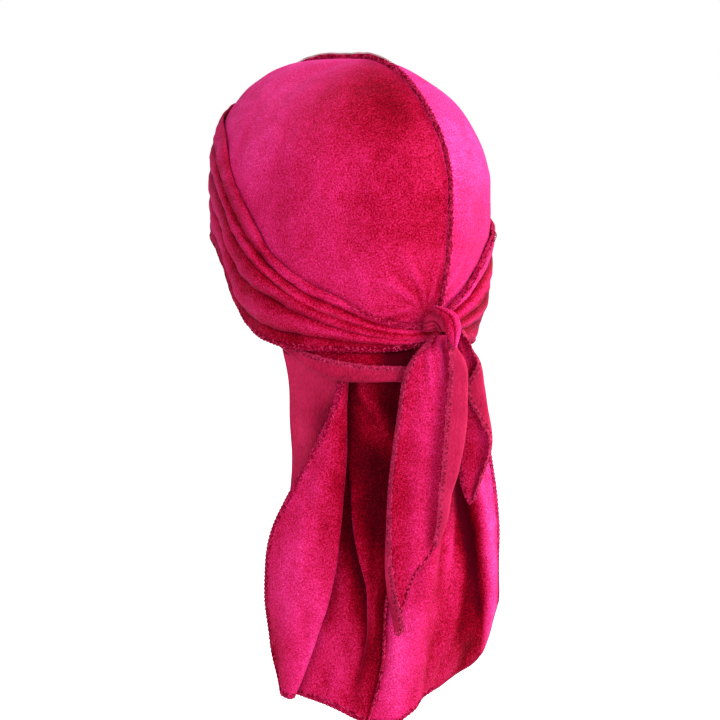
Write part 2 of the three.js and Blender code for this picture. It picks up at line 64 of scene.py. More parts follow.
BAND_ROOM = 1.4  # between a panel and the nape band
BAND_LAYER = 5.6  # what the nape band adds under the wraps
DRAPE_TURN = 143.5  # azimuth of the drape frame and of the camera, degrees
STITCH = 2.7  # overlock stitch length
SERGE = 2.6  # overlock width
END_SERGE = 2.8  # the same on the strap ends
THREAD = 0.20  # thread radius
THREAD_SIDES = 5
CREST = 0.9  # a point this far out of its surroundings counts as a full crest

# the head: a dome CROWN high with its top PEAK behind the middle, then level sections
CROWN, PEAK, HALF_WIDTH, FRONT, BACK = 72.0, 20.0, 77.0, 90.0, 98.0
SIDE_POWER, BROW_POWER, NAPE_POWER = 1.72, 3.3, 1.7
SECTION = {
    "z": [-72, -95, -115, -135, -155, -175, -195],
    "half_width": [77, 77, 76, 74, 70, 65, 60],
    "front": [90, 90, 89.5, 88.5, 87, 85, 83],
    "back": [98, 98, 95.5, 90.5, 83.5, 76, 69.5],
}
FOREHEAD = 180.0  # azimuth
NAPE_Z = -166.0  # where the crown turns into the tail


# ---- smooth curves ----
def curve(xs, ys, x):
    """Smooth value at x through the points (xs, ys), held at both ends."""
    xs, ys, x = (np.asarray(v, float) for v in (xs, ys, x))
    if xs[-1] < xs[0]:
        xs, ys = xs[::-1], ys[::-1]
    gap = np.diff(xs)
    slope = np.diff(ys) / gap
    inner = (slope[:-1] * gap[1:] + slope[1:] * gap[:-1]) / (gap[:-1] + gap[1:])
    tangent = np.concatenate(([slope[0]], inner, [slope[-1]]))
    i = np.clip(np.searchsorted(xs, x) - 1, 0, len(xs) - 2)
    u = np.clip((x - xs[i]) / gap[i], 0, 1)
    u2, u3 = u * u, u * u * u
    return (
        (2 * u3 - 3 * u2 + 1) * ys[i]
        + (u3 - 2 * u2 + u) * gap[i] * tangent[i]
        + (3 * u2 - 2 * u3) * ys[i + 1]
        + (u3 - u2) * gap[i] * tangent[i + 1]
    )


def along(points, u):
    """Catmull-Rom through points[0], points[1]...; u counts points."""
    points, u = np.asarray(points, float), np.asarray(u, float)
    last = len(points) - 1
    i = np.clip(np.floor(u).astype(int), 0, last - 1)
    t = (u - i).reshape((-1,) + (1,) * (points.ndim - 1))
    t2, t3 = t * t, t * t * t
    a, b, c, d = (points[np.clip(i + k, 0, last)] for k in (-1, 0, 1, 2))
    early = (-t + 2 * t2 - t3) * a + (2 - 5 * t2 + 3 * t3) * b
    return 0.5 * (early + (t + 4 * t2 - 3 * t3) * c + (t3 - t2) * d)


def across(lines, c):
    """The sheet between lines (row, line, ...): a column for every c, which counts lines."""
    return along(np.swapaxes(lines, 0, 1), c).swapaxes(0, 1)


def smooth(x, low, high):
    """0 at low and 1 at high, eased in between; low may be the larger one."""
    t = np.clip((x - low) / (high - low), 0, 1)
    return t * t * (3 - 2 * t)


def hump(x, middle, width):
    return np.exp(-((x - middle) / width) ** 2)


def unit(v):
    return v / np.maximum(np.linalg.norm(v, axis=-1, keepdims=True), 1e-9)


def lengths(path):
    """Length along a path as far as each of its points."""
    return np.concatenate(([0], np.cumsum(np.linalg.norm(np.diff(path, axis=0), axis=1))))


def read_at(s, length, field):
    """Vectors that are known at every length, read at the lengths s."""
    return np.stack([np.interp(s, length, field[:, k]) for k in range(3)], -1)


class Ripple:
    """A smooth field without a repeat that shows: many sine waves of about one size."""

    WAVES = 14

    def __init__(self, seed, size, stretch=(1, 1, 1)):
        rng = np.random.default_rng(seed)
        directions = unit(rng.normal(size=(self.WAVES, 3)))
        spread = rng.uniform(0.6, 1.5, (self.WAVES, 1))
        self.k = directions * (2 * math.pi / size) * spread / np.asarray(stretch, float)
        self.phase = rng.uniform(0, 2 * math.pi, self.WAVES)
        self.scale = 1.4 / math.sqrt(self.WAVES)

    def __call__(self, p):
        return np.sin(p @ self.k.T + self.phase).sum(-1) * self.scale


# ---- the head the cloth lies on ----
def head_point(azimuth, z):
    """Azimuth in degrees from straight behind, toward the wearer's left."""
    azimuth, z = np.broadcast_arrays(np.asarray(azimuth, float), np.asarray(z, float))
    angle = np.radians(azimuth)
    s, c = np.sin(angle), np.cos(angle)
    behind = c > 0
    side = s * s
    power = SIDE_POWER * side + np.where(behind, NAPE_POWER, BROW_POWER) * (1 - side)
    up = np.clip(1 + z / CROWN, 0, 1) ** (power / 2)
    out = np.sqrt(np.clip(1 - up * up, 0, 1)) ** (2 / power)
    reach = np.where(behind, BACK, FRONT)
    dome = np.stack([HALF_WIDTH * out * s, reach * out * c + PEAK * (1 - out), z], -1)
    half_width, front, back = (curve(SECTION["z"], SECTION[k], z) for k in ("half_width", "front", "back"))
    below = np.stack([half_width * s, np.where(behind, back, front) * c, z], -1)
    return np.where((z > -CROWN)[..., None], dome, below)


def head_normal(azimuth, z):
    """Outward normal; close to the top, where the azimuths meet, it is read a little lower."""
    z = np.minimum(z, -1.5)
    a = head_point(azimuth + 1, z) - head_point(azimuth - 1, z)
    b = head_point(azimuth, z - 1) - head_point(azimuth, z + 1)
    return unit(np.cross(a, b))


def on_head(azimuth, z, lift):
    azimuth, z, lift = np.broadcast_arrays(*(np.asarray(v, float) for v in (azimuth, z, lift)))
    return head_point(azimuth, z) + head_normal(azimuth, z) * lift[..., None]


TURN = math.radians(DRAPE_TURN)
ACROSS = np.array([math.cos(TURN), math.sin(TURN), 0])
OUT = np.array([math.sin(TURN), -math.cos(TURN), 0])
DOWN = np.array([0, 0, -1.0])


def drape(a, o, z):
    """Points of the drape frame, from across, out and height."""
    a, o, z = np.broadcast_arrays(*(np.asarray(v, float) for v in (a, o, z)))
    return a[..., None] * ACROSS + o[..., None] * OUT - z[..., None] * DOWN


# ---- cloth as grids, walls and threads ----
NO_TRIS = np.zeros((0, 3), int)
RIM_ANGLES = (45, 0, -45)  # where the rounded rim of a wall has its rings


def grid_normals(g, flip):
    """Normals of a grid (rows, columns, 3); rows run down and columns run to the right."""
    n = np.cross(np.gradient(g, axis=0), np.gradient(g, axis=1))
    return unit(-n if flip else n)


def numbered(g, base=0):
    """Vertex numbers of a grid of points."""
    return base + np.arange(g.shape[0] * g.shape[1]).reshape(g.shape[:2])


def grid_faces(ids, flip=False):
    """Quads between the vertex numbers of a grid."""
    corners = ids[:-1, :-1], ids[1:, :-1], ids[1:, 1:], ids[:-1, 1:]
    quads = np.stack([corner.ravel() for corner in corners], -1)
    return quads[:, ::-1] if flip else quads


def tube_faces(rows, around, flip=False):
    """Quads between rings, and triangles to the two end points that follow the rings' vertices."""
    row, k = np.meshgrid(np.arange(rows - 1), np.arange(around), indexing="ij")
    a = (row * around + k).ravel()
    b = (row * around + (k + 1) % around).ravel()
    quads = np.stack([a, a + around, b + around, b], -1)
    k = np.arange(around)
    after = (k + 1) % around
    last_ring, first_tip = (rows - 1) * around, rows * around
    caps = np.concatenate([
        np.stack([np.full(around, first_tip), k, after], -1),
        np.stack([np.full(around, first_tip + 1), last_ring + after, last_ring + k], -1),
    ])
    if flip:
        return quads[:, [0, 3, 2, 1]], caps[:, [0, 2, 1]]
    return quads, caps


def with_tips(rings, first_tip, last_tip):
    """The rings' vertices, followed by the two end points."""
    return np.concatenate([rings.reshape(-1, 3), first_tip[None], last_tip[None]])


def vertex_normals(v, quads, tris):
    n = np.zeros_like(v)
    for f, (a, b, c, d) in ((quads, (0, 2, 1, 3)), (tris, (0, 1, 0, 2))):
        normal = np.cross(v[f[:, b]] - v[f[:, a]], v[f[:, d]] - v[f[:, c]])
        for k in range(f.shape[1]):
            np.add.at(n, f[:, k], normal)
    return unit(n)


def mesh(name, verts, faces, materials, indices=None, attributes=None):
    """A Blender object from millimetre vertices and lists of faces; it rides on the root body."""
    me = bpy.data.meshes.new(name)
    faces = [np.asarray(f) for f in faces if len(f)]
    loops = np.concatenate([f.ravel() for f in faces])
    sizes = np.concatenate([np.full(len(f), f.shape[1]) for f in faces])
    starts = np.concatenate(([0], np.cumsum(sizes)[:-1]))
    me.vertices.add(len(verts))
    me.vertices.foreach_set("co", (np.asarray(verts) * MM).astype(np.float32).ravel())
    me.loops.add(len(loops))
    me.loops.foreach_set("vertex_index", loops.astype(np.int32))
    me.polygons.add(len(sizes))
    me.polygons.foreach_set("loop_start", starts.astype(np.int32))
    me.update(calc_edges=True)
    me.polygons.foreach_set("use_smooth", np.full(len(sizes), True))
    for m in materials:
        me.materials.append(m)
    if indices is not None:
        me.polygons.foreach_set("material_index", np.asarray(indices, np.int32))
    for key, values in (attributes or {}).items():
        layer = me.attributes.new(key, "FLOAT", "POINT")
        layer.data.foreach_set("value", np.asarray(values, np.float32))
    me.validate()
    o = bpy.data.objects.new(name, me)
    bpy.context.scene.collection.objects.link(o)
    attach(o, "root")
    return o


def face_edges(quads, tris):
    """Every face's edges, from vertex to vertex, in the direction of that face."""
    edges = []
    for f in (quads, tris):
        for k in range(f.shape[1]):
            edges.append(np.stack([f[:, k], f[:, (k + 1) % f.shape[1]]], -1))
    return np.concatenate(edges)


def rim_edges(quads, tris):
    """The edges that only one face uses: no other face runs along them the other way."""
    edges = face_edges(quads, tris)
    count = edges.max() + 1
    return edges[~np.isin(edges @ [count, 1], edges @ [1, count])]


def rim_outward(v, n, rim):
    """Directions out of the sheet at its rim, from the normals n."""
    a, b = rim.T
    side = np.cross(v[b] - v[a], n[a] + n[b])
    outward = np.zeros_like(v)
    np.add.at(outward, a, side)
    np.add.at(outward, b, side)
    return unit(outward)


def wall(name, v, quads, tris, thick, attributes):
    """A closed wall of cloth round a sheet of faces, with a rounded rim: velvet on the side that the
    faces look to, and the wrong side behind."""
    n = vertex_normals(v, quads, tris)
    rim = rim_edges(quads, tris)
    outward = rim_outward(v, n, rim)
    count, half = len(v), thick / 2
    on_rim = np.unique(rim)
    rings = []
    for angle in RIM_ANGLES:
        q = math.radians(angle)
        rings.append(v[on_rim] + n[on_rim] * half * math.sin(q) + outward[on_rim] * half * math.cos(q))
    verts = np.concatenate([v + n * half, v - n * half, *rings])
    # vertex numbers of every level, from the velvet side over the rings to the wrong side
    here = np.arange(count)
    on_ring = np.full(count, -1)
    on_ring[on_rim] = np.arange(len(on_rim))
    levels = [here, *(2 * count + r * len(on_rim) + on_ring for r in range(len(rings))), here + count]
    a, b = rim.T
    strips = [np.stack([up[b], up[a], low[a], low[b]], -1) for up, low in zip(levels, levels[1:])]
    faces = [quads, tris, quads[:, ::-1] + count, tris[:, ::-1] + count, *strips]
    sheet, half_rim = len(quads) + len(tris), len(strips) // 2 * len(rim)
    index = np.repeat([0, 1, 0, 1], [sheet, sheet, half_rim, half_rim])
    spread = {}
    for key, values in attributes.items():
        spread[key] = np.concatenate([values, values, *[values[on_rim]] * len(rings)])
    return mesh(name, verts, faces, CLOTH_MATS, index, spread)


def fold_depth(v, quads, tris, rounds=10):
    """How far each vertex stands out of its surroundings, from -1 in a valley to 1 on a crest."""
    edges = face_edges(quads, tris)
    here, there = np.concatenate([edges, edges[:, ::-1]]).T
    weight = np.bincount(here, minlength=len(v))[:, None]
    s = v
    for _ in range(rounds):
        total = [np.bincount(here, s[there, k], minlength=len(v)) for k in range(3)]
        s = 0.5 * s + 0.5 * np.stack(total, -1) / weight
    return np.clip(np.einsum("ij,ij->i", v - s, vertex_normals(v, quads, tris)) / CREST, -1, 1)


def cloth(node, v, quads, tris, thick, serged, nap_and_painted_light):
    """The wall that replaces a CAD node. serged is 1 under an overlock, and nap says how the pile is
    brushed and carries painted shade and painted highlights; the fold-depth attribute paints crests lighter
    and valleys darker."""
    attributes = {"painted_fold_light": fold_depth(v, quads, tris), "serge": serged.ravel(), "nap_and_painted_light": nap_and_painted_light.ravel()}
    o = wall(node + "_cloth", v, quads, tris, thick, attributes)
    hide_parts(node)
    return o


def strap(node, g, flip, serged, nap_and_painted_light):
    """A strap's cloth from one grid of points."""
    quads = grid_faces(numbered(g), flip)
    return cloth(node, g.reshape(-1, 3), quads, NO_TRIS, STRAP_CLOTH, serged, nap_and_painted_light)


def distances(g):
    """Length along the rows from the first and from the last column, and to the bottom row."""
    first = np.stack([lengths(row) for row in g])
    top = np.stack([lengths(column) for column in g.swapaxes(0, 1)], 1)
    return first, first[:, -1:] - first, top[-1:] - top


def near(distance, width=SERGE):
    return 1 - smooth(distance, width * 0.75, width * 1.25)


# ---- overlock stitches ----
STEPS_A_STITCH = 8
JITTER = 0.22  # unevenness of the stitches
OVERHANG = 0.35  # how far the loopers are moved out past the rim
PURL_LIFT = 0.4  # swing of the purl from face to face
DASH = 0.68  # share of a stitch that the needle thread shows


def tube(points, radius, normals):
    """Vertices and faces of a round thread along points, with closed ends."""
    t = unit(np.gradient(points, axis=0))
    side = unit(np.cross(t, normals))[:, None]
    up = np.cross(side, t[:, None])
    q = 2 * math.pi * np.arange(THREAD_SIDES) / THREAD_SIDES
    ring = points[:, None] + radius * (np.cos(q)[None, :, None] * side + np.sin(q)[None, :, None] * up)
    return with_tips(ring, points[0], points[-1]), *tube_faces(len(points), THREAD_SIDES)


def serge(path, normal, inward, thick, seed, width=SERGE):
    """Overlock stitches over a cut edge, as thread parts: a looper zigzag on each face, a purl on the
    rim and the needle thread's dashes."""
    length = lengths(path)
    s = np.linspace(0, length[-1], max(2, int(round(length[-1] / (STITCH / STEPS_A_STITCH))) + 1))
    path, normal, inward = (read_at(s, length, field) for field in (path, normal, inward))
    normal, inward = unit(normal), unit(inward)
    inward = unit(inward - normal * np.einsum("ij,ij->i", inward, normal)[:, None])
    phase = s / STITCH
    count = int(phase[-1]) + 2
    jitter = np.interp(phase, np.arange(count), np.random.default_rng(seed).normal(0, JITTER, count))

    def thread(reach, lift, radius=THREAD, facing=1):
        p = path + inward * reach[:, None] + normal * lift[:, None]
        return tube(p, radius, normal * facing)

    needle_side = np.abs((phase % 1) * 2 - 1)  # 1 at the needle line, 0 at the rim
    reach = width * (0.06 + 0.94 * needle_side) * (1 + 0.12 * jitter) - OVERHANG
    lift = (thick / 2 + THREAD * 0.7) * smooth(reach, -0.4, 0.5)
    loopers = [thread(reach, lift), thread(reach, -lift, facing=-1)]
    swing = 2 * math.pi * phase
    purl = thread(-(thick / 2 + 0.1 + 0.16 * np.cos(swing)), PURL_LIFT * np.sin(swing), THREAD * 1.15)
    dash = np.where((phase % 1) < DASH, 1.0, -0.9)
    dash = np.convolve(np.pad(dash, 1, mode="edge"), [0.25, 0.5, 0.25], "valid")
    needle = thread(width + 0.05 + 0.1 * jitter, thick / 2 + THREAD * 0.8 * dash)
    return [*loopers, purl, needle]


def edge_of(g, n, which, start=0.0, stop=1.0):
    """Path, normals and inward directions of one edge of a grid, from start to stop along it."""
    if which != "bottom":
        g, n = g.swapaxes(0, 1), n.swapaxes(0, 1)
    rim, inside = (0, 1) if which == "left" else (-1, -2)
    inward = unit(g[inside] - g[rim])
    last = g.shape[1] - 1
    part = slice(int(start * last), int(math.ceil(stop * last)) + 1)
    return g[rim, part], n[rim, part], inward[part]


def threads(name, parts):
    """One object from thread parts, which are vertices, quads and caps."""
    verts, quads, caps = zip(*parts)
    starts = np.cumsum([0, *map(len, verts)])
    faces = [np.concatenate([f + start for f, start in zip(kind, starts)]) for kind in (quads, caps)]
    o = mesh(name, np.concatenate(verts), faces, [THREAD_MAT])


def overlock(node, g, n, edges, thick, seed, width=SERGE):
    """The stitches along the named edges of a grid with the normals n."""
    parts = []
    for k, edge in enumerate(edges):
        parts += serge(*edge_of(g, n, *edge), thick, seed + k, width)
    threads(node + "_stitches", parts)


# ---- materials ----
class Nodes:
    """The node tree of a material or the world, with short ways to add and join nodes."""

    def __init__(self, name, kind=bpy.data.materials, shader="Principled BSDF"):
        self.owner = kind.new(name)
        self.owner.use_nodes = True
        self.tree = self.owner.node_tree
        self.shader = self.tree.nodes[shader]
        self.coords = self.add("ShaderNodeTexCoord").outputs["Object"]

    def add(self, kind, inputs=(), **settings):
        """A node with its settings, and its inputs fed by name or number."""
        node = self.tree.nodes.new(kind)
        for key, value in settings.items():
            setattr(node, key, value)
        for key, value in dict(inputs).items():
            self.feed(node.inputs[key], value)
        return node

    def feed(self, socket, value):
        """Join another node's output to the socket, or set a number or a colour."""
        if isinstance(value, bpy.types.NodeSocket):
            self.tree.links.new(value, socket)
        elif isinstance(value, tuple):
            socket.default_value = (*value, 1)
        else:
            socket.default_value = value

    def noise(self, scale, detail=2.0, stretch=(1, 1, 1), distortion=0.0):
        where = self.add("ShaderNodeMapping", {"Vector": self.coords})
        where.inputs["Scale"].default_value = stretch
        inputs = {"Vector": where.outputs[0], "Scale": scale, "Detail": detail, "Distortion": distortion}
        return self.add("ShaderNodeTexNoise", inputs).outputs["Fac"]

    def attribute(self, name):
        return self.add("ShaderNodeAttribute", attribute_name=name).outputs["Fac"]

    def math(self, operation, *values):
        return self.add("ShaderNodeMath", enumerate(values), operation=operation).outputs[0]

    def plus(self, value, more, factor):
        """value + more * factor"""
        return self.math("MULTIPLY_ADD", more, factor, value)

    def ramp(self, value, stops):
        node = self.add("ShaderNodeValToRGB", {"Fac": value})
        while len(node.color_ramp.elements) < len(stops):
            node.color_ramp.elements.new(0.5)
        for element, (position, colour) in zip(node.color_ramp.elements, stops):
            element.position = position
            element.color = (*colour, 1)
        return node.outputs["Color"]

    def mix(self, factor, a, b):
        inputs = {"Factor": factor, "A": a, "B": b}
        return self.add("ShaderNodeMix", inputs, data_type="RGBA").outputs["Result"]

    def bump(self, heights):
        """heights: (source, depth in metres) pairs, coarse first."""
        last = None
        for source, depth in heights:
            node = self.add("ShaderNodeBump", {"Distance": depth, "Height": source})
            if last is not None:
                self.feed(node.inputs["Normal"], last)
            last = node.outputs["Normal"]
        self.feed(self.shader.inputs["Normal"], last)

    def set(self, **values):
        """Feed the shader's inputs, named with _ for a space."""
        for key, value in values.items():
            self.feed(self.shader.inputs[key.replace("_", " ")], value)


def velvet_material():
    """Crushed pile. The nap attribute says which way it is brushed and carries painted shade and painted
    highlights: -1 is dark and 1 is bright.
    """
    m = Nodes("velvet")
    patches = m.noise(19, 3.0, distortion=0.5)
    mottle = m.noise(85, 3.0)
    grain = m.noise(1150, 1.5)
    sparkle = m.noise(1500, 0.0)
    painted_fold_light = m.attribute("painted_fold_light")
    value = m.plus(0.23, patches, 0.34)
    value = m.plus(value, mottle, 0.20)
    value = m.plus(value, m.attribute("nap_and_painted_light"), 0.5)
    # painted light: the fold-depth attribute lightens fold crests as a painted highlight and darkens fold
    # valleys as painted shade, the valleys once more on the next line
    value = m.plus(value, painted_fold_light, 0.12)
    value = m.plus(value, m.math("MINIMUM", painted_fold_light, 0.0), 0.16)
    value = m.plus(value, m.math("SUBTRACT", grain, 0.5), 0.85)
    colour = m.ramp(value, [
        (0.00, (0.055, 0.000, 0.003)),
        (0.25, (0.200, 0.000, 0.006)),
        (0.38, (0.350, 0.002, 0.022)),
        (0.50, (0.480, 0.007, 0.060)),
        (0.72, (0.700, 0.020, 0.165)),
        (1.00, (0.930, 0.080, 0.420)),
    ])
    under_stitches = m.math("MULTIPLY", m.attribute("serge"), 0.5)
    m.set(Base_Color=m.mix(under_stitches, colour, (0.24, 0.001, 0.022)))
    m.set(Roughness=m.plus(0.80, sparkle, -0.35))
    m.set(Sheen_Weight=0.45, Sheen_Roughness=0.32, Sheen_Tint=(1.0, 0.10, 0.50))
    m.set(Specular_IOR_Level=0.06, Specular_Tint=(1.0, 0.1, 0.4))
    m.bump([(mottle, 0.0011), (grain, 0.0004), (sparkle, 0.00018)])
    return m.owner


def back_material():
    """The smooth knitted wrong side."""
    m = Nodes("velvet_back")
    cloud = m.noise(30, 2.0)
    knit = m.noise(1300, 0.0, stretch=(1, 1, 0.35))
    value = m.plus(m.math("MULTIPLY", cloud, 0.65), knit, 0.35)
    # painted light: the nap attribute carries painted shade and highlights, and the fold-depth attribute
    # makes fold crests lighter and valleys darker
    value = m.plus(value, m.attribute("nap_and_painted_light"), 0.5)
    value = m.plus(value, m.attribute("painted_fold_light"), 0.10)
    colour = m.ramp(value, [
        (0.00, (0.060, 0.000, 0.006)),
        (0.35, (0.360, 0.006, 0.042)),
        (0.70, (0.560, 0.018, 0.090)),
    ])
    under_stitches = m.math("MULTIPLY", m.attribute("serge"), 0.4)
    m.set(Base_Color=m.mix(under_stitches, colour, (0.30, 0.02, 0.07)), Roughness=0.72)
    m.set(Sheen_Weight=0.08, Sheen_Roughness=0.5, Sheen_Tint=(1.0, 0.2, 0.5))
    m.set(Specular_IOR_Level=0.12, Specular_Tint=(1.0, 0.3, 0.5))
    m.bump([(knit, 0.00022)])
    return m.owner


def thread_material():
    """Dark wine thread with paler bits of the cloth's fluff caught in it."""
    m = Nodes("overlock_thread")
    colour = m.ramp(m.noise(520, 1.0), [
        (0.40, (0.110, 0.000, 0.006)),
        (0.50, (0.270, 0.001, 0.022)),
        (0.60, (0.720, 0.040, 0.160)),
    ])
    m.set(Base_Color=colour, Roughness=0.7)
    m.set(Sheen_Weight=0.02, Sheen_Roughness=0.4, Sheen_Tint=(1.0, 0.08, 0.2))
    m.set(Specular_IOR_Level=0.02, Specular_Tint=(1.0, 0.1, 0.2))
    m.bump([(m.noise(2600, 0.0), 0.0001)])
    return m.owner


def fin_material():
    """Cloth of the seam's fin, pressed under its stitches."""
    m = Nodes("seam_fin")
    colour = m.ramp(m.noise(420, 2.0), [
        (0.35, (0.200, 0.002, 0.015)),
        (0.62, (0.560, 0.012, 0.080)),
        (0.90, (0.800, 0.030, 0.170)),
    ])
    m.set(Base_Color=colour, Roughness=0.75, Specular_IOR_Level=0.03)
    m.set(Sheen_Weight=0.10, Sheen_Roughness=0.4, Sheen_Tint=(1.0, 0.08, 0.3))
    m.bump([(m.noise(1400, 0.0), 0.0003)])
    return m.owner


FIN_MAT = fin_material()
VELVET_MAT = velvet_material()
BACK_MAT = back_material()
THREAD_MAT = thread_material()
CLOTH_MATS = [VELVET_MAT, BACK_MAT]


# ---- the panels: crown and tail in one cloth ----
TAIL_HEIGHTS = [-190, -215, -245, -285, -325]
# Every fold line: a and o are its across and out at those heights, halfway to its hem and at its hem,
# and nap is how its pile is brushed there together with painted light, from -1 for dark to 1 for bright:
# painted shade in the valleys between folds and under the flap's edge, painted highlights on the bright
# crests
SEAM_LINE = dict(start=0, a=[46, 43, 38, 33, 23, 21, 12], o=[64.5, 66, 66, 66, 67, 66, 63], hem=-403)
LEFT_FOLDS = [
    dict(SEAM_LINE, nap_and_painted_light=[-0.6, -0.6, -0.6, -0.6, -0.7, -0.8, -0.5]),
    dict(start=10, hem=-402, a=[26, 30, 34, 29, 18.8, 17, 8], o=[71.5, 61, 62, 66, 66.6, 65.6, 62.7],
         nap_and_painted_light=[-1, -0.8, -0.8, -0.8, -0.75, -0.6, -0.2]),
    dict(start=20, hem=-401, a=[9, 22, 30, 24, 16.6, 15, 5.5], o=[75, 70, 65, 65, 66, 65, 62.3],
         nap_and_painted_light=[-0.4, -0.45, -0.8, -0.85, -0.35, -0.6, -0.1]),
    dict(start=30, hem=-400, a=[4, 12, 18, 15, 14.4, 13, 3], o=[71.8, 68, 64, 64, 65.2, 64, 61.8],
         nap_and_painted_light=[-0.9, -0.5, -1, -0.75, -0.35, -0.55, -0.1]),
    dict(start=40, hem=-399, a=[-1, 1, 3, 4, 12, 11, 0.5], o=[71, 65, 63, 66, 63.5, 61.5, 60.5],
         nap_and_painted_light=[-1, -1, -0.7, -0.45, -0.25, -0.6, 0]),
    dict(start=50, hem=-397, a=[-6, -3, -1, 9, 15, 9.5, -4], o=[70.3, 63, 60.5, 59.5, 57, 57, 59],
         nap_and_painted_light=[-1, -1, -0.9, -1.3, -1.3, -0.5, 0]),
    dict(start=60, hem=-393, a=[-16, -14, -14, -14, -2, -2, -14], o=[67, 61, 57.6, 55.3, 56.6, 57, 57],
         nap_and_painted_light=[0, 0, 0, 0, -0.2, 0, 0.05]),
    dict(start=72, hem=-388, a=[-33, -32.5, -32, -34, -36, -37, -37],
         o=[55.6, 50.6, 48.6, 45.6, 44.6, 44.6, 45.6], nap_and_painted_light=[0, 0, 0, 0, 0, 0, 0]),
]
# the turned-back layers start under the nape band, at top
TURNED_FOLDS = [
    dict(top=(-38.6, 61.2, -173), hem=-388,
         a=[-35.6, -34.9, -34, -35.8, -37.9, -38.9, -38.9], o=[59, 54, 51.6, 48.6, 47.6, 47.6, 48.6],
         nap_and_painted_light=[0.1, 0, 0, 0, 0, 0, 0]),
    dict(top=(-30, 65.5, -175), hem=-388,
         a=[-29, -27.5, -23.5, -25, -29, -33.5, -37.4], o=[63.8, 61, 58, 53, 51, 50, 49.8],
         nap_and_painted_light=[0.1, 0.1, 0, 0, 0, 0, 0]),
    dict(top=(-14, 74.8, -177), hem=-388,
         a=[-14, -12, -11, -13.5, -22, -29.5, -36.5], o=[72, 67, 64, 60, 55.6, 54, 52.8],
         nap_and_painted_light=[-0.1, -0.7, -0.7, -0.55, -0.35, 0, 0]),
    dict(top=(-1.5, 77.3, -179), hem=-389,
         a=[-1.5, -3, -3.5, -6.5, -13, -23.5, -34], o=[76, 72, 70, 68, 65, 61, 57],
         nap_and_painted_light=[-0.1, -0.55, -0.5, -0.3, 0, 0.3, 0.3]),
    dict(top=(-2.6, 80.2, -179), hem=-389,
         a=[-3, -8, -15, -27, -33, -36.2, -37.5], o=[79, 75, 72, 67, 64, 59.5, 58],
         nap_and_painted_light=[-0.15, -0.2, -0.05, 0.12, 0.18, 0.05, 0.2]),
    dict(top=(-5.2, 79.7, -179), hem=-388,
         a=[-5.8, -13.5, -28, -47, -52, -48.5, -41.5], o=[78.6, 74, 66, 55, 50, 48.5, 52],
         nap_and_painted_light=[0.1, 0.1, 0.1, 0.1, -0.1, -0.2, 0]),
]
RIGHT_FOLDS = [
    dict(SEAM_LINE, nap_and_painted_light=[0, 0, 0, 0, 0.2, 0.3, 0.15]),
    dict(start=-6, hem=-404, a=[51, 48, 45, 42, 34, 32, 25], o=[60.5, 63, 66, 68, 70, 68, 64],
         nap_and_painted_light=[-0.05, -0.05, -0.1, -0.1, 0.2, 0.4, 0.3]),
    dict(start=-14, hem=-397, a=[57, 54, 51, 51, 47, 43, 39], o=[53, 57, 62, 65, 66, 64, 59],
         nap_and_painted_light=[0, 0, 0, 0.1, 0, 0.1, 0.1]),
    dict(start=-22, hem=-389, a=[61.5, 59, 56, 56, 54, 50, 47], o=[45.5, 51, 57, 59, 59, 58, 53],
         nap_and_painted_light=[0, 0, 0, 0, -0.05, -0.2, -0.05]),
    dict(start=-31, hem=-384, a=[65, 63, 60, 63, 64, 61, 58], o=[37, 44, 51, 53, 53, 52, 45],
         nap_and_painted_light=[0, 0, 0, 0.05, 0.05, -0.2, -0.05]),
    dict(start=-42, hem=-372, a=[68, 67, 66, 73, 79, 80.5, 77], o=[25, 35, 43, 44, 45, 45, 38],
         nap_and_painted_light=[-0.8, -1, -1.2, -1.2, -1, -0.6, -0.3]),
    dict(start=-52, hem=-362, a=[69, 74, 78, 85.5, 88, 86.5, 83.5], o=[14, 30, 43, 48, 48, 46, 39],
         nap_and_painted_light=[0.3, 0.45, 0.45, 0.45, 0.4, 0.35, 0.25]),
    dict(start=-62, hem=-345, a=[68, 82, 89, 93, 93, 92, 90], o=[3, 24, 33, 37, 38, 37, 33],
         nap_and_painted_light=[0.5, 0.5, 0.5, 0.5, -0.1, 0.3, 0.3]),
]
COLUMNS_A_FOLD = 10
ROW_STEP = 2.2
TAIL_STEPS = [24, 25, 30, 40, 40, 39, 39]  # lengths from each point of a fold line to the next
MID_CLOTH = CAD_CLOTH / 2  # the middle of the crown's cloth, over the head
# the crown's lower edge, from the tail's last fold round to the forehead
SIDE_AZIMUTHS, SIDE_EDGE = [110, 140, 180], [-104, -92, -88]
EDGE_START = -150  # the height that its curve leaves from, under the wraps
KNOT_AZIMUTH, KNOT_Z = 6, -147  # where the crown's gathers meet

soft_dents = Ripple(3, 70)
small_dents = Ripple(5, 24)
flutes = Ripple(11, 36, stretch=(1, 1, 3.5))
creases = Ripple(12, 13, stretch=(1, 1, 2.4))


def fold_path(fold, side):
    """A fold line's points: one under the nape band, then one for every height of the tail."""
    heights = [*TAIL_HEIGHTS, (TAIL_HEIGHTS[-1] + fold["hem"]) / 2, fold["hem"]]
    seam = fold.get("start") == 0
    shift = -side * SEAM_HALF if seam else 0
    below = drape(np.array(fold["a"], float) + shift, fold["o"], heights)
    if "top" in fold:
        first = drape(*fold["top"])
    else:
        first = on_head(fold["start"], NAPE_Z, MID_CLOTH)
        if seam:
            first = first + [side * SEAM_HALF, 0, 0]
    return np.concatenate([first.reshape(1, 3), below])


def crown_heights():
    """Heights of the crown's rows, evenly spaced along its side."""
    z = -CROWN * np.linspace(0, 1, 600) ** 2
    length = lengths(head_point(60, z))
    rows = np.interp(np.arange(1, int(length[-1] / ROW_STEP)) * ROW_STEP, length, z)
    return np.concatenate([rows, np.linspace(-CROWN, NAPE_Z, int((-CROWN - NAPE_Z) / ROW_STEP))])


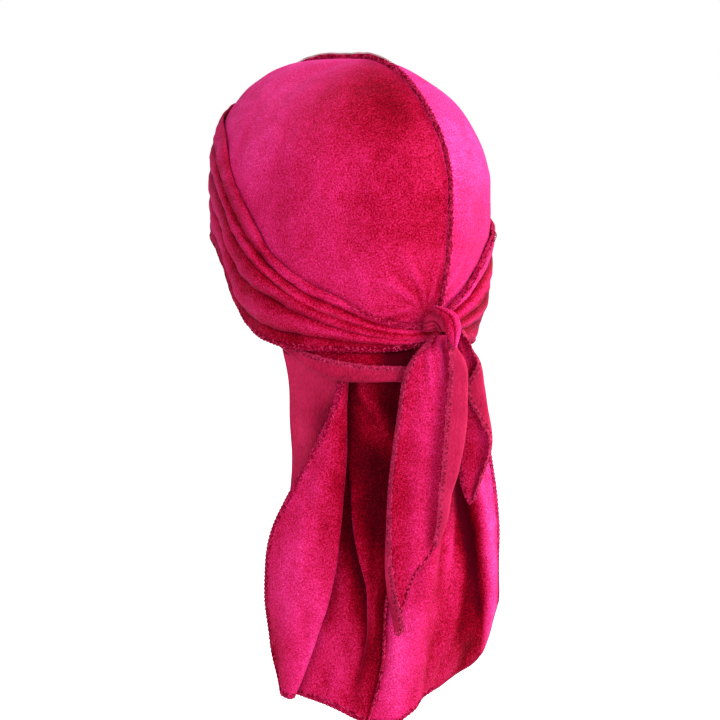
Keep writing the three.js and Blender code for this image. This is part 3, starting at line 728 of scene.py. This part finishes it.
def crown_relief(p):
    """Soft dents, and the gathers that run from the knot up the back of the crown."""
    relief = 0.45 * soft_dents(p) + 0.16 * small_dents(p)
    knot = on_head(KNOT_AZIMUTH, KNOT_Z, 0)
    distance = np.linalg.norm(p - knot, axis=-1)
    turn = np.arctan2(p[..., 2] - knot[2], p[..., 0] - knot[0])
    gathers = np.maximum(0, np.sin(turn * 13 + 1.4 * small_dents(p * 0.5))) ** 1.5
    reach = smooth(distance, 62, 14) * smooth(distance, 3, 12)
    return relief + 1.1 * gathers * reach


def crown_nap_and_light(azimuth, z):
    """The wearer's right side is brushed brighter toward the top, partly a painted highlight for the light
    from that side; the left has a dark patch by the seam and is darker in a strip along the seam.
    """
    patch = hump(azimuth, 26, 28) * hump(z, -22, 26)
    dull = hump(azimuth, 32, 20) * hump(z, -88, 26)
    beside = hump(azimuth, 6, 22) * smooth(-z, 45, 75)
    raised = 0.30 * smooth(azimuth, 45, 105)
    left = 0.06 - 0.48 * patch - 0.12 * dull - 0.17 * beside - 0.10 * hump(azimuth, 0, 7) + raised
    right = 0.22 + 0.38 * smooth(z, -110, -50)
    return np.where(azimuth > 0, left, right)


def crown_azimuths(starts):
    """Azimuths of the columns: by fold where the tail hangs on, then even as far as the forehead."""
    count = (len(starts) - 1) * COLUMNS_A_FOLD + 1
    hung = np.interp(np.arange(count) / COLUMNS_A_FOLD, np.arange(len(starts)), starts)
    free = np.linspace(starts[-1], FOREHEAD, int((FOREHEAD - starts[-1]) / 1.8))[1:]
    return np.concatenate([hung, free])


def crown_edge(azimuth, last):
    """Height of the crown's lower edge: NAPE_Z where the tail hangs on, then rising."""
    turn = last + (FOREHEAD - last) / 9
    at_turn = float(curve([last, *SIDE_AZIMUTHS], [EDGE_START, *SIDE_EDGE], turn))
    rising = curve([last, turn, *SIDE_AZIMUTHS], [NAPE_Z, at_turn, *SIDE_EDGE], azimuth)
    return np.where(azimuth <= last, NAPE_Z, rising)


def crown_sheet(side, starts):
    """A crown panel's points by row and column, and the nap there with its painted highlight."""
    azimuth = crown_azimuths(starts)
    edge = crown_edge(azimuth, starts[-1])
    z = crown_heights()[:, None]
    z = np.where(z > -CROWN, z, -CROWN + (z + CROWN) * (edge + CROWN) / (NAPE_Z + CROWN))
    azimuth = np.broadcast_to(side * azimuth, z.shape)
    relief = crown_relief(on_head(azimuth, z, MID_CLOTH))
    calm = 0.25 + 0.75 * smooth(z, -165, -150)  # under the straps
    crown = on_head(azimuth, z, MID_CLOTH + relief * calm * smooth(z, -0.2, -6))
    crown[..., 0] += side * SEAM_HALF
    return crown, crown_nap_and_light(azimuth, z)


def tail_sheet(side, folds):
    """Points of one half of the tail by row and column, and the nap there with its painted shade and
    highlights.
    """
    rows = int(sum(TAIL_STEPS) / ROW_STEP)
    stations = np.concatenate(([0], np.cumsum(TAIL_STEPS)))
    u = np.interp(np.linspace(0, stations[-1], rows + 1), stations, np.arange(len(stations)))
    c = np.arange((len(folds) - 1) * COLUMNS_A_FOLD + 1) / COLUMNS_A_FOLD
    tail = across(along(np.stack([fold_path(f, side) for f in folds], 1), u), c)
    nap_and_painted_light = across(along(np.array([[f["nap_and_painted_light"][0], *f["nap_and_painted_light"]] for f in folds]).T, u), c)
    loose = smooth(u, 0.8, 2.2)[:, None]
    off_seam = smooth(c, 0.0, 0.8)[None, :]
    relief = (0.75 * flutes(tail) + 0.24 * creases(tail)) * loose * off_seam
    return tail + grid_normals(tail, side > 0) * relief[..., None], nap_and_painted_light


def panel(node, side, held, turned):
    """One half of the crown and of the tail in one cloth. The tail hangs on at the held folds."""
    starts = [abs(f["start"]) for f in held]
    crown, nap_and_painted_light = crown_sheet(side, starts)
    tail, tail_nap_and_light = tail_sheet(side, held + turned)
    shared = (len(held) - 1) * COLUMNS_A_FOLD + 1
    tail[0, :shared] = crown[-1, :shared]
    # one sheet: apex, crown rows, tail rows
    apex = [[side * SEAM_HALF, PEAK, MID_CLOTH]]
    v = np.concatenate([apex, crown.reshape(-1, 3), tail.reshape(-1, 3)])
    crown_ids = numbered(crown, 1)
    tail_ids = numbered(tail, 1 + crown_ids.size)
    tail_ids[0, :shared] = crown_ids[-1, :shared]
    first_row = crown_ids[0]
    tris = np.stack([np.zeros(len(first_row) - 1, int), first_row[:-1], first_row[1:]], -1)
    quads = np.concatenate([grid_faces(crown_ids), grid_faces(tail_ids)])
    if side > 0:
        tris, quads = tris[:, ::-1], quads[:, ::-1]
    # drop the tail's first-row points that the crown's last row stands for
    used = np.zeros(len(v), bool)
    used[quads.ravel()] = used[tris.ravel()] = True
    renumber = np.cumsum(used) - 1
    _, edge, hem = distances(tail)
    serged = np.concatenate([np.zeros(1 + crown_ids.size), np.maximum(near(edge), near(hem)).ravel()])
    nap_and_painted_light = np.concatenate([nap_and_painted_light[0, :1], nap_and_painted_light.ravel(), tail_nap_and_light.ravel()])
    o = cloth(node, v[used], renumber[quads], renumber[tris], CLOTH, serged[used], nap_and_painted_light[used])
    return o, tail, grid_normals(tail, side > 0)


left_cloth, *left_tail = panel("panel_left", 1, LEFT_FOLDS, TURNED_FOLDS)
right_cloth, *right_tail = panel("panel_right", -1, RIGHT_FOLDS, [])
TAIL_SERGE_TOP = 0.02  # the stitches start just under the nape band
overlock("panel_left", *left_tail, [("right", TAIL_SERGE_TOP), ("bottom",)], CLOTH, 21)
overlock("panel_right", *right_tail, [("right", TAIL_SERGE_TOP, 0.78), ("bottom", 0.0, 0.5)], CLOTH, 23)


# ---- the centre seam ----
# round the fin: sideways in half thicknesses, and up in heights from the cloth's inner face
FIN_SECTION = [
    (-1, 0), (-1, 0.55), (-0.95, 0.86), (-0.5, 1.05), (0, 1.12),
    (0.5, 1.05), (0.95, 0.86), (1, 0.55), (1, 0), (0, -0.12),
]
# places along the fin, and its height there: flat in front, under the straps and under the nape band
FIN_FRONT = [-88, -16, -10, -4], [0.4, 0.4, 1.2, SEAM_STAND]  # by z
FIN_BACK = [-0.7, -120, -138, -150, -166], [SEAM_STAND, SEAM_STAND, 3, 0.4, 0.4]  # by z
FIN_TAIL = [0, 1.0, 1.5, 6, 7], [0.4, 0.4, 2.6, 2.6, 1.6]  # by point of the seam line
FIN_STEP = 1.0
STANDING = 2.0  # from this height on the fin shows its stitches
SHORTEST_RUN = 8  # steps


def seam_rows():
    """Foot points, outward directions, side directions and heights along the whole seam."""
    x_axis = np.array([1.0, 0, 0])
    front = -np.linspace(9.3, 0.9, 46) ** 2
    back = np.concatenate([-np.linspace(0.9, 8.4, 44) ** 2, np.linspace(-73, -153, 40)])
    path = fold_path(SEAM_LINE, 0)
    last = len(path) - 1
    u = np.linspace(0, last, 110)
    ahead = along(path, np.minimum(last, u + 0.05)) - along(path, np.maximum(0, u - 0.05))
    turn = np.minimum(1, u)[:, None]
    tail_side = unit(x_axis * (1 - turn) - ACROSS * turn)
    tail_up = unit(np.cross(tail_side, unit(ahead)))
    apex = [[0, PEAK, MID_CLOTH]]
    foot = [on_head(FOREHEAD, front, MID_CLOTH), apex, on_head(0, back, MID_CLOTH), along(path, u)]
    up = [head_normal(FOREHEAD, front), [[0, 0, 1]], head_normal(0, back), tail_up]
    side = [np.tile(x_axis, (len(front) + 1 + len(back), 1)), tail_side]
    height = [curve(*FIN_FRONT, front), [SEAM_STAND], curve(*FIN_BACK, back), curve(*FIN_TAIL, u)]
    return [np.concatenate(field) for field in (foot, up, side, height)]


def seam():
    """The fin that stands between the panels, and its stitches where it stands up."""
    foot, up, side, height = seam_rows()
    length = lengths(foot)
    s = np.arange(0, length[-1], FIN_STEP)
    foot, up, side = (read_at(s, length, field) for field in (foot, up, side))
    up, side = unit(up), unit(side)
    height = np.interp(s, length, height)
    half = SEAM_HALF + 0.08 * np.sin(2 * math.pi * s / STITCH)
    wave = 0.22 * np.sin(s / 9.0) * smooth(height, 1, 3)
    height = height * (1 + 0.05 * np.sin(s / 6.3) + 0.03 * np.sin(s / 2.1))
    rows = []
    for x, y in FIN_SECTION:
        rise = -MID_CLOTH + (height + CAD_CLOTH) * y
        rows.append(foot + side * (half * x + wave * y)[:, None] + up * rise[:, None])
    g = np.stack(rows, 1)
    centre = g.mean(1)
    v = with_tips(g, centre[0], centre[-1])
    o = mesh("center_seam_fin", v, tube_faces(*g.shape[:2], True), [FIN_MAT])
    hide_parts("center_seam")
    tip = foot + up * (height + MID_CLOTH + 0.1)[:, None] + side * wave[:, None]
    change = np.diff(np.concatenate(([0], height > STANDING, [0])))
    parts = []
    for i, (start, stop) in enumerate(zip(np.flatnonzero(change == 1), np.flatnonzero(change == -1))):
        if stop - start >= SHORTEST_RUN:
            run = slice(start, stop)
            width = float(np.median(height[run])) - 0.4
            parts += serge(tip[run], side[run], -up[run], 2 * SEAM_HALF, 40 + i, width)
    threads("center_seam_stitches", parts)


seam()


# ---- the straps wound round the head ----
# the nap of each crease line is lower on the creases, as painted shade, and higher on the ridges, as
# painted highlight
WRAP_LEFT = {
    "azimuth": [4, 15, 30, 45, 60, 75, 90, 105, 130, 160, 196],
    "depth": [1, 1, 1, 1, 1, 1, 0.85, 0.6, 0.4, 0.3, 0.15],
    "lift": [0.6, 2.6, 0.3, 3, 0.3, 2.6, 0.4, 2.8, 0.4, 2],
    "nap_and_painted_light": [-0.15, 0.08, -0.45, 0, -0.5, -0.05, -0.4, 0, -0.4, -0.25],
    "z": [
        [-152.5, -152.5, -146.5, -136.5, -127, -111, -80, -56, -38, -32, -30],
        [-153.3, -153.4, -148.4, -139.2, -129.8, -114, -86, -62, -44, -39, -37],
        [-154.1, -154.4, -150.1, -141.6, -132.6, -117.5, -93, -68, -50, -46, -44],
        [-154.9, -155.4, -151.7, -144, -135.6, -121.4, -100, -75, -57, -53, -51],
        [-155.8, -156.4, -153.2, -146.3, -138.2, -124.6, -106, -82, -64, -60, -58],
        [-156.7, -157.5, -154.7, -148.4, -140.8, -130.5, -118, -93, -72, -68, -66],
        [-157.6, -158.6, -156.2, -150.6, -143.6, -135.5, -126, -101, -79, -75, -74],
        [-158.5, -159.8, -158.2, -154.8, -149.8, -146, -138, -110, -88, -84, -83],
        [-159.5, -161.2, -160.6, -158.8, -156.8, -154, -146, -118, -96, -92, -91],
        [-160.8, -163.6, -165, -165, -165, -162.5, -154, -126, -104, -101, -100],
    ],
}
WRAP_RIGHT = {
    "azimuth": [4, 9, 15, 22, 30, 45, 60, 75, 90, 105, 130, 160, 187],
    "depth": [1, 1, 1, 0.9, 0.7, 0.5, 0.6, 0.8, 1, 1, 1, 0.6, 0.15],
    "lift": [0.2, 2.4, 0.4, 2.6, 0.5, 2.0, 0.3, 1.4, 0.3],
    "nap_and_painted_light": [0.1, 0.3, -0.5, 0.2, -0.6, 0, -0.6, -0.1, -0.4],
    "z": [
        [-145, -139, -131, -120, -110, -103, -96, -88, -78, -66, -46, -33, -31],
        [-146.5, -141.5, -134, -124.5, -116, -109.5, -103, -95.5, -86.5, -74, -54, -41, -39],
        [-148, -144, -137.5, -129, -121.5, -116, -110, -103, -94.5, -81, -61, -49, -47],
        [-149.6, -146.5, -141, -134, -127.5, -123, -118, -111, -102.5, -88, -68, -57, -55],
        [-151.2, -149.3, -145, -139.5, -134, -130.5, -126, -119.5, -111, -95, -75, -65, -63],
        [-152.9, -152, -149.5, -145.5, -142, -139.5, -136, -129.5, -121, -102, -82, -74, -72],
        [-154.6, -155, -154, -151.5, -149.5, -148, -145, -139, -130, -109, -89, -83, -81],
        [-156.3, -158.3, -159.5, -159, -158.5, -157.5, -154.5, -149, -139.5, -116, -96, -91.5, -90],
        [-158, -161.8, -164.5, -166, -166.5, -165.5, -163, -158, -148, -122, -103, -100, -99],
    ],
}
CREASE_STEPS = 9  # grid columns from one crease line to the next
WANDER_PLACES = np.arange(0, 200, 22.0)  # azimuths
PLEAT_POWER = 0.72
FULL_SPACING = 4.5  # crease lines closer than this have lower pleats
CROSSING = 148  # azimuth where the straps begin to lie over each other


def crease_lines(table, az, seed):
    """Heights z of the crease lines at the azimuths az, how far each stands off, and their spacing."""
    rng = np.random.default_rng(seed)

    def wander(size):
        return curve(WANDER_PLACES, rng.normal(0, size, len(WANDER_PLACES)), az)

    lines = np.stack([curve(table["azimuth"], z, az) for z in table["z"]])
    spacing = (lines[0] - lines[-1]) / (len(lines) - 1)
    for line in lines[1:-1]:  # each crease but the outermost wanders a little
        line += wander(0.13) * spacing
    lifts = np.array(table["lift"])[:, None]
    swell = np.stack([1 + wander(0.16) for _ in lifts])
    depth = np.minimum(1, spacing / FULL_SPACING) * curve(table["azimuth"], table["depth"], az)
    return lines, lifts * swell * depth, spacing


def pleats(lifts, c):
    """Lift at every c between the crease lines: steep beside the low line and round at the high one."""
    i = np.minimum(c.astype(int), len(lifts) - 2)
    part = (c - i)[:, None]
    a, b = lifts[i], lifts[i + 1]
    rising = np.sin(part * math.pi / 2) ** PLEAT_POWER
    falling = 1 - np.sin((1 - part) * math.pi / 2) ** PLEAT_POWER
    return a + (b - a) * np.where(a < b, rising, falling)


def wrap(name, side, table, over, band_end, ease, stitched_to, seed):
    """An outer strap pass. over: how far it stands off the other strap at the forehead. band_end and
    ease: where the nape band below it ends, and over how many degrees. stitched_to: the azimuth as far
    as the upper edge shows its stitches; beyond, it is a plain fold."""
    az = np.arange(table["azimuth"][0], table["azimuth"][-1] + 0.01, 1.25)
    lines, lifts, spacing = crease_lines(table, az, seed)
    last = len(lines) - 1
    c = np.arange(last * CREASE_STEPS + 1) / CREASE_STEPS
    z = along(lines, c)
    below_top = np.clip(((c / last)[:, None] - 0.2) / 0.3, 0, 1)
    on_band = np.clip((band_end + ease - az) / ease, 0, 1) * below_top
    crossed = (0.6 + over) * np.clip((az - CROSSING) / 15, 0, 1)
    base = CAD_CLOTH + WRAP_ROOM + CAD_STRAP / 2
    lift = base + pleats(lifts, c) + BAND_LAYER * on_band + crossed
    g = on_head(side * az, z, lift).transpose(1, 0, 2)
    fine = Ripple(seed + 1, 9, stretch=(2.6, 2.6, 0.8))
    soft = Ripple(seed + 2, 30)
    room = np.minimum(1, spacing / 5)[:, None]
    g = g + grid_normals(g, side < 0) * ((0.20 * fine(g) + 0.25 * soft(g)) * room)[..., None]
    first, end, _ = distances(g)
    serged = np.maximum(near(end), near(first) * smooth(az, stitched_to, stitched_to - 6)[:, None])
    nap_and_painted_light = along(np.array(table["nap_and_painted_light"]), c) + np.zeros((len(az), 1))
    if side > 0:  # painted shade where its lower edge runs into the knot
        nap_and_painted_light = nap_and_painted_light - 0.7 * smooth(c, last - 1.6, last - 0.4) * smooth(az, 30, 20)[:, None]
    o = strap(name, g, side < 0, serged, nap_and_painted_light)
    return o, g, grid_normals(g, side < 0)


wrap_left, *left_sheet = wrap(
    "wrap_left", 1, WRAP_LEFT, over=3.4, band_end=78, ease=26, stitched_to=44, seed=50)
wrap_right, *right_sheet = wrap(
    "wrap_right", -1, WRAP_RIGHT, over=0, band_end=28, ease=11, stitched_to=200, seed=60)
overlock("wrap_left", *left_sheet, [("right",), ("left", 0.0, 0.19)], STRAP_CLOTH, 61)
overlock("wrap_right", *right_sheet, [("right",), ("left",)], STRAP_CLOTH, 63)


# ---- the nape band with its turned-up cuff ----
NAPE = {
    "azimuth": [-26, -20, -13, -5, 10, 20, 30, 40, 50, 60, 68, 76],
    "cuff": [-165, -169, -172, -174.5, -175.5, -174.5, -173.5, -171.5, -169.7, -167, -163.7, -159],
    "bottom": [-170, -175.5, -179, -181, -182.5, -181.8, -181.5, -181.2, -178, -174, -169.5, -163.5],
    "flare": [0.5, 3, 6.5, 9, 10, 10.5, 11.5, 12, 10.5, 6.5, 2, 0.5],
}
BAND_TOP = -157.0
BAND_COLUMNS = 96  # points along the band
# the section's points, from the top down, round the bottom and up the cuff: the heights that each
# lies between, how far above them, and its lift, as a share of the flare and what is added to it
BAND_SECTION = [
    (("top",), 0, 0, 0),
    (("top", "cuff"), 0, 0.2, 0),
    (("cuff",), 0, 0.58, 0),
    (("cuff", "bottom"), 0, 0.82, 0),
    (("bottom",), 1.6, 1, 0),
    (("bottom",), 0, 1, 1.5),
    (("bottom",), 1.6, 1, 3.1),
    (("cuff", "bottom"), 0, 0.84, 3.0),
    (("cuff",), 0, 0.62, 2.5),
]


def nape_band():
    az = np.linspace(NAPE["azimuth"][0], NAPE["azimuth"][-1], BAND_COLUMNS)
    heights = {key: curve(NAPE["azimuth"], NAPE[key], az) for key in ("cuff", "bottom")}
    heights["top"] = np.full_like(az, BAND_TOP)
    flare = curve(NAPE["azimuth"], NAPE["flare"], az)
    lie = CAD_CLOTH + BAND_ROOM + CAD_STRAP / 2
    lines = []
    for places, above, share, more in BAND_SECTION:
        z = sum(heights[place] for place in places) / len(places) + above
        lines.append(on_head(az, z, lie + flare * share + more))
    g = along(np.stack(lines), np.linspace(0, len(lines) - 1, 57)).transpose(1, 0, 2)
    waves = Ripple(71, 34)
    g = g + grid_normals(g, False) * (0.3 * waves(g))[..., None]
    _, cuff_edge, _ = distances(g)
    # painted shade on the gap between the wound strap and the cuff, which lies in the dark beside the knot;
    # the whole band is a little darker too
    nap_and_painted_light = -1.2 * hump(az, 17, 9)[:, None] * smooth(np.arange(g.shape[1]), 30, 20) - 0.35
    o = strap("nape_band", g, False, near(cuff_edge, 2.4), nap_and_painted_light)
    overlock("nape_band", g, grid_normals(g, False), [("right",)], STRAP_CLOTH, 72)
    return o


nape_cloth = nape_band()


# ---- the strap ends ----
LEFT_END = {
    "heights": [-160, -178, -205, -240],
    "out": [82, 87.5, 86, 82, 79.5, 78, 76],
    "lines": [
        dict(lift=3.4, a=[50.8, 36.2, 30.6, 26.7, 24.9, 26.5, 33.5], end=-340, nap_and_painted_light=-0.3),
        dict(lift=1.2, a=[49.5, 35, 29.5, 25.5, 23.5, 23, 29], end=-343, nap_and_painted_light=-0.12),
        dict(lift=-0.6, a=[52.5, 42, 37, 33.5, 31.5, 31, 34], end=-324, nap_and_painted_light=-0.05),
        dict(lift=1.0, a=[55, 49, 46, 43, 41.5, 40, 40], end=-307, nap_and_painted_light=0.08),
        dict(lift=-1.2, a=[57.5, 56, 55.5, 53, 51, 49, 46], end=-299, nap_and_painted_light=0.1),
        dict(lift=0.2, a=[60.5, 67.2, 68.4, 64.2, 60.4, 58.2, 53.2], end=-288, nap_and_painted_light=0),
        dict(lift=3.3, a=[61, 67.4, 68.6, 64.4, 60.6, 58.4, 53.4], end=-288, nap_and_painted_light=0.05),
        dict(lift=4.4, a=[59, 60, 58, 55.8, 54.4, 53.6, 51.3], end=-285, nap_and_painted_light=-0.1),
    ],
}
RIGHT_END = {
    "heights": [-157, -176, -194, -220],
    "out": [80, 79, 75, 71, 68, 66, 63],
    "lines": [
        dict(lift=0.3, a=[60.8, 63.2, 65, 65, 65, 67, 71.4], end=-262, nap_and_painted_light=0.2),
        dict(lift=0.8, a=[63.6, 69, 72, 73, 73, 73, 73.4], end=-265, nap_and_painted_light=-0.1),
        dict(lift=-1.6, a=[67.2, 76.5, 80, 84.5, 84, 80, 76], end=-263, nap_and_painted_light=0.25),
        dict(lift=1.8, a=[67.6, 76.8, 80.3, 84.8, 84.3, 80.3, 76.4], end=-262, nap_and_painted_light=0.1),
        dict(lift=3.5, a=[67.2, 76.2, 70.5, 83.4, 83.9, 79.9, 76], end=-260, nap_and_painted_light=-0.1),
    ],
}


def strap_end(name, table, rows, seed):
    last = table["heights"][-1]
    paths = []
    for line in table["lines"]:
        run = line["end"] - last
        heights = [*table["heights"], last + run / 3, last + 2 * run / 3, line["end"]]
        paths.append(drape(line["a"], np.array(table["out"]) + line["lift"], heights))
    lines = along(np.stack(paths, 1), np.linspace(0, len(paths[0]) - 1, rows))
    c = np.arange((len(paths) - 1) * CREASE_STEPS + 1) / CREASE_STEPS
    g = across(lines, c)
    gathers = Ripple(seed, 7, stretch=(1, 1, 6))
    dents = Ripple(seed + 1, 26, stretch=(1, 1, 2))
    near_knot = smooth(g[..., 2], table["heights"][1] - 30, table["heights"][0])
    g = g + grid_normals(g, False) * (0.22 * dents(g) + 0.5 * gathers(g) * near_knot)[..., None]
    nap_and_painted_light = along(np.array([line["nap_and_painted_light"] for line in table["lines"]], float), c) + np.zeros((rows, 1))
    serged = np.max([near(distance, END_SERGE) for distance in distances(g)], axis=0)
    o = strap(name, g, False, serged, nap_and_painted_light)
    edges = [("left",), ("right",), ("bottom",)]
    overlock(name, g, grid_normals(g, False), edges, STRAP_CLOTH, seed + 5, END_SERGE)
    return o


end_left = strap_end("strap_end_left", LEFT_END, 92, 80)
end_right = strap_end("strap_end_right", RIGHT_END, 60, 90)


# ---- the knot ----
# the core runs on behind the loop, down to the tops of the strap ends
KNOT_CORE = {
    "path": [(45, 80, -155.8), (47.5, 81.6, -153.9), (50.2, 81.5, -151.3), (53.8, 81, -151),
             (57.2, 80.6, -151.8), (59.8, 80.4, -152.3), (61.4, 80.2, -153.4)],
    "width": [3.5, 8, 10, 11.6, 12, 7.6, 4.5],
    "thick": [4, 8.2, 9.8, 11.6, 12.6, 12, 8],
}
# the loop comes out from the crown, over the core and down to the strap ends
KNOT_LOOP = {
    "path": [(52.2, 76, -144.7), (51.6, 81, -143.2), (52.2, 85.8, -143.5), (55.5, 89.2, -144.9),
             (59.2, 91, -147.8), (61, 92.2, -152), (61.7, 92, -157), (62.2, 90.8, -162),
             (62.5, 89.4, -166.5)],
    "width": [3, 3.6, 4.4, 6, 8.8, 9.6, 8.2, 5.2, 3],
    "thick": [2.4, 2.8, 3.4, 4.8, 6.4, 7, 6, 4.4, 2.8],
}


def roll(name, table, rows, around, relief, nap_and_painted_light, material):
    """A bunched roll of cloth along a path. relief and nap are functions of u, which counts the path's
    points, and of q, the angle round it; relief scales the section, and nap gives the nap together with
    painted shade and highlights."""
    path = drape(*np.transpose(table["path"]))
    last = len(path) - 1
    u = np.linspace(0, last, rows)
    p = along(path, u)
    t = unit(along(path, np.minimum(last, u + 0.1)) - along(path, np.maximum(0, u - 0.1)))
    side = unit(np.cross(t, OUT))
    up = unit(np.cross(side, t))
    w, h = (curve(np.arange(len(path)), table[key], u) / 2 for key in ("width", "thick"))
    close = np.sqrt(np.clip(1 - np.abs(np.linspace(-1, 1, rows)) ** 8, 0.02, 1))
    q = 2 * math.pi * np.arange(around) / around
    uu, qq = np.meshgrid(u, q, indexing="ij")
    size = relief(uu, qq) * close[:, None]
    sideways = side[:, None] * (w[:, None] * np.cos(q) * size)[..., None]
    upward = up[:, None] * (h[:, None] * np.sin(q) * size)[..., None]
    v = with_tips(p[:, None] + sideways + upward, p[0], p[-1])
    quads, caps = tube_faces(rows, around)
    attributes = {
        "painted_fold_light": fold_depth(v, quads, caps, 6),
        "serge": np.zeros(len(v)),
        "nap_and_painted_light": np.append(nap_and_painted_light(uu, qq).ravel(), [0, 0]),
    }
    o = mesh(name + "_cloth", v, [quads, caps], [material], attributes=attributes)
    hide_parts(name)


def dent(angle, at, width):
    """A narrow groove at one angle round a roll."""
    return hump(np.mod(angle - at + math.pi, 2 * math.pi), math.pi, width)


def puckers(u, q):
    """Grooves that run slantwise over the core."""
    slant = q + 0.8 * u
    return dent(slant, 1.75, 0.2) + 0.9 * dent(slant, 2.5, 0.18) + dent(slant, 3.3, 0.2)


def pillow(u, q):
    return 1.04 - 0.24 * puckers(u, q)


# darker all over, with painted shade in the slanting grooves
def pillow_nap_and_groove_shade(u, q):
    return -0.35 - 0.5 * puckers(u, q)


def long_groove(u, q):
    return dent(q, 2.1 - 0.06 * u, 0.16)


def band(u, q):
    """The loop is a flat strip gathered lengthwise."""
    grooves = 0.22 * long_groove(u, q) + 0.14 * dent(q, 1.2 + 0.05 * u, 0.12)
    return 1 + 0.06 * np.cos(2 * q) - grooves + 0.02 * np.cos(9 * q)


def band_painted_light(u, q):
    """Painted highlight toward its right side, as the camera sees it, and toward its lower end, and painted
    shade in its long groove.
    """
    return -0.29 - 0.3 * np.cos(q) + 0.07 * u - 0.5 * long_groove(u, q)


roll("knot_core", KNOT_CORE, 110, 72, pillow, pillow_nap_and_groove_shade, BACK_MAT)
roll("knot_loop", KNOT_LOOP, 130, 80, band, band_painted_light, VELVET_MAT)


# ---- stage, light and camera, in metres ----
AIM = np.array([0, 0, -0.2])
ELEVATION, DISTANCE = 9.0, 1.5
LENS, SENSOR, SHIFT = 119.0, 36, (0.0156, 0.0294)
CLIP = 0.05, 100
FLOOR_REACH, FLOOR_Z = 40.0, -0.46
FLOOR_GREY, FLOOR_ROUGH, FLOOR_SHINE = 0.9, 0.9, 0.1
FLOOR_GLOW = 0.80  # brightens the floor for the camera only, so the studio stays soft
STUDIO, BACKDROP = 0.22, 1.0  # the white world's strength as a light and as the camera sees it
# direction (across, out and up, as the camera sees them), distance, size and power
LIGHTS = {
    "key": ((0.85, 0.75, 0.75), 1.6, 0.9, 26),
    "side": ((1.0, -0.25, 0.35), 1.5, 0.8, 20),
    "fill": ((-0.5, 1.0, 0.35), 1.8, 1.3, 14),
    "rim": ((-0.5, -0.3, 1.0), 1.6, 0.8, 8),
}


def stage():
    """A white floor that glows for the camera."""
    corners = [(x * FLOOR_REACH, y * FLOOR_REACH, FLOOR_Z) for x, y in ((-1, -1), (1, -1), (1, 1), (-1, 1))]
    me = bpy.data.meshes.new("floor")
    me.from_pydata(corners, [], [(0, 1, 2, 3)])
    floor = bpy.data.objects.new("floor", me)
    bpy.context.scene.collection.objects.link(floor)
    m = Nodes("floor")
    seen = m.add("ShaderNodeLightPath").outputs["Is Camera Ray"]
    m.set(Base_Color=(FLOOR_GREY,) * 3, Roughness=FLOOR_ROUGH, Specular_IOR_Level=FLOOR_SHINE)
    m.set(Emission_Color=(1, 1, 1), Emission_Strength=m.math("MULTIPLY", seen, FLOOR_GLOW))
    me.materials.append(m.owner)


def look(o, back):
    """Turn a lamp or a camera to look against the direction back."""
    o.rotation_mode = "QUATERNION"
    o.rotation_quaternion = Vector(-back).to_track_quat("-Z", "Y")
    bpy.context.scene.collection.objects.link(o)


def area_light(name, direction, distance, size, power):
    a, o, up = direction
    back = unit(a * ACROSS + o * OUT - up * DOWN)
    light = bpy.data.lights.new(name, "AREA")
    light.shape = "SQUARE"
    light.size = size
    light.energy = power
    lamp = bpy.data.objects.new(name, light)
    lamp.location = AIM + back * distance
    look(lamp, back)


def world():
    w = Nodes("studio", bpy.data.worlds, "Background")
    seen = w.add("ShaderNodeLightPath").outputs["Is Camera Ray"]
    w.set(Color=(1, 1, 1), Strength=w.plus(STUDIO, seen, BACKDROP - STUDIO))
    bpy.context.scene.world = w.owner


def camera():
    data = bpy.data.cameras.new("camera")
    data.lens, data.sensor_width = LENS, SENSOR
    data.shift_x, data.shift_y = SHIFT
    data.clip_start, data.clip_end = CLIP
    cam = bpy.data.objects.new("camera", data)
    rise = math.radians(ELEVATION)
    back = OUT * math.cos(rise) - DOWN * math.sin(rise)
    cam.location = AIM + back * DISTANCE
    look(cam, back)
    bpy.context.scene.camera = cam


stage()
world()
for name, settings in LIGHTS.items():
    area_light(name, *settings)
camera()
bpy.context.scene.view_settings.view_transform = "Standard"
